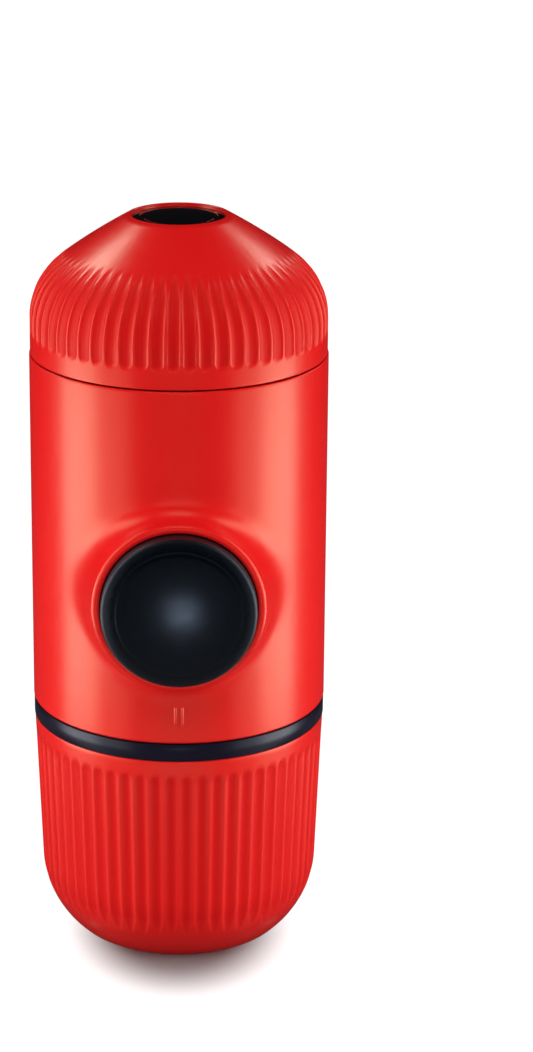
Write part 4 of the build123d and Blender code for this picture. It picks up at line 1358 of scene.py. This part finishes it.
@dataclass
class Studio:
    """The pale floor, soft boxes and camera."""

    frame_pixels: tuple[int, int] = (533, 1052)
    focal_pixels: float = 3202.0
    principal: tuple[float, float] = (178.9, 517.0)
    distance: float = 0.639
    height: float = 0.305
    pitch: float = 18.54
    sensor: float = 36.0
    clip: tuple[float, float] = (0.01, 50.0)
    floor_size: float = 12.0
    white: float = 1.0
    fill: float = 0.05
    floor_seen: float = 0.17
    floor_felt: float = 0.07
    floor_specular: float = 1.0
    floor_roughness: tuple[float, float] = (0.07, 0.09)
    floor_wear_scale: float = 60.0
    # Where the camera's glow is missing: an oval of painted shadow round the bottle, shifted forward.
    shadow_near: float = 0.013
    shadow_far: float = 0.031
    shadow_place: tuple[float, float, float] = (0.0, 0.0082, 0.0)
    shadow_scale: tuple[float, float, float] = (1.15, 0.82, 1.0)
    softboxes: tuple[Softbox, ...] = SOFTBOXES

    def camera(self) -> None:
        """The camera in front, looking down a little, with the frame shifted to the photograph's."""
        data = bpy.data.cameras.new("camera")
        longer = max(self.frame_pixels)
        data.sensor_width = self.sensor
        data.lens = self.focal_pixels * self.sensor / longer
        data.shift_x = (self.frame_pixels[0] / 2 - self.principal[0]) / longer
        data.shift_y = (self.principal[1] - self.frame_pixels[1] / 2) / longer
        data.clip_start, data.clip_end = self.clip
        thing = bpy.data.objects.new("camera", data)
        thing.location = (0.0, -self.distance, self.height)
        thing.rotation_euler = (math.radians(90.0 - self.pitch), 0.0, 0.0)
        bpy.context.scene.collection.objects.link(thing)
        bpy.context.scene.camera = thing

    def world(self) -> None:
        """An even world: white to the camera, a soft fill for the rest, and nothing in gloss."""
        world = bpy.data.worlds.new("world")
        world.use_nodes = True
        tree = world.node_tree
        background = tree.nodes["Background"]
        path = tree.nodes.new("ShaderNodeLightPath")
        level = self.step(tree, path.outputs["Is Camera Ray"], self.fill, self.white)
        tree.links.new(level, background.inputs["Strength"])
        background.inputs["Color"].default_value = (1.0, 1.0, 1.0, 1.0)
        bpy.context.scene.world = world
        world.cycles_visibility.glossy = False

    @staticmethod
    def step(tree: bpy.types.NodeTree, share: bpy.types.NodeSocket, off: float, on: float
             ) -> bpy.types.NodeSocket:
        """A value with two levels.

        Args:
            tree: the node tree that it goes into.
            share: output that is 0 or 1.
            off: level where the share is 0.
            on: level where it is 1.

        Returns:
            The value's output.
        """
        node = tree.nodes.new("ShaderNodeMapRange")
        node.inputs["To Min"].default_value = off
        node.inputs["To Max"].default_value = on
        tree.links.new(share, node.inputs["Value"])
        return node.outputs["Result"]

    def floor_finish(self) -> bpy.types.Material:
        """The floor's finish: its own colour near the bottle, and a glow that the camera sees farther off.

        The glow grows smoothly from shadow_near to shadow_far, which are distances from the bottle on object
        coordinates that are shifted forward and stretched into an oval. Inside it the camera sees the floor's
        own dim
        colour: a painted shadow, with the lamps' real shadow in it.

        Returns:
            The material.
        """
        graph = Graph("floor")
        graph.set(Specular_IOR_Level=self.floor_specular, Emission_Color=(1.0, 1.0, 1.0, 1.0))
        graph.rough(graph.noise(self.floor_wear_scale), *self.floor_roughness)
        tree = graph.tree
        path = tree.nodes.new("ShaderNodeLightPath")
        pale = self.step(tree, path.outputs["Is Camera Ray"], self.floor_felt, self.floor_seen)
        tree.links.new(pale, graph.shader.inputs["Base Color"])
        place = tree.nodes.new("ShaderNodeMapping")
        place.inputs["Location"].default_value = self.shadow_place
        place.inputs["Scale"].default_value = self.shadow_scale
        tree.links.new(graph.place, place.inputs["Vector"])
        length = tree.nodes.new("ShaderNodeVectorMath")
        length.operation = "LENGTH"
        tree.links.new(place.outputs["Vector"], length.inputs[0])
        fade = tree.nodes.new("ShaderNodeMapRange")
        fade.interpolation_type = "SMOOTHSTEP"
        fade.inputs["From Min"].default_value = self.shadow_near
        fade.inputs["From Max"].default_value = self.shadow_far
        tree.links.new(length.outputs["Value"], fade.inputs["Value"])
        seen = tree.nodes.new("ShaderNodeMath")
        seen.operation = "MULTIPLY"
        tree.links.new(path.outputs["Is Camera Ray"], seen.inputs[0])
        tree.links.new(fade.outputs["Result"], seen.inputs[1])
        tree.links.new(seen.outputs["Value"], graph.shader.inputs["Emission Strength"])
        return graph.material

    def floor(self) -> None:
        """A flat floor that keeps the lamps' shadow near the bottle, inside an oval of painted shadow."""
        half = self.floor_size / 2
        corners = [(-half, -half, 0), (half, -half, 0), (half, half, 0), (-half, half, 0)]
        mesh = bpy.data.meshes.new("floor")
        mesh.from_pydata(corners, [], [(0, 1, 2, 3)])
        thing = bpy.data.objects.new("floor", mesh)
        bpy.context.scene.collection.objects.link(thing)
        mesh.materials.append(self.floor_finish())

    def build(self) -> None:
        """Set up camera, lamps, world and floor."""
        self.camera()
        for softbox in self.softboxes:
            softbox.build()
        self.world()
        self.floor()
        bpy.context.scene.view_settings.view_transform = "Standard"


def main() -> None:
    """Build the sub-assemblies in order, dress what is left, and set up the studio."""
    logging.basicConfig(level=logging.INFO, format="%(message)s")
    shop = Workshop(FINISHES)
    for assembly in (Tank(), Body(), Piston(), Cup(), Badge()):
        assembly.build(shop)
    shop.dress_nodes()
    Studio().build()


if __name__ == "__main__":
    main()
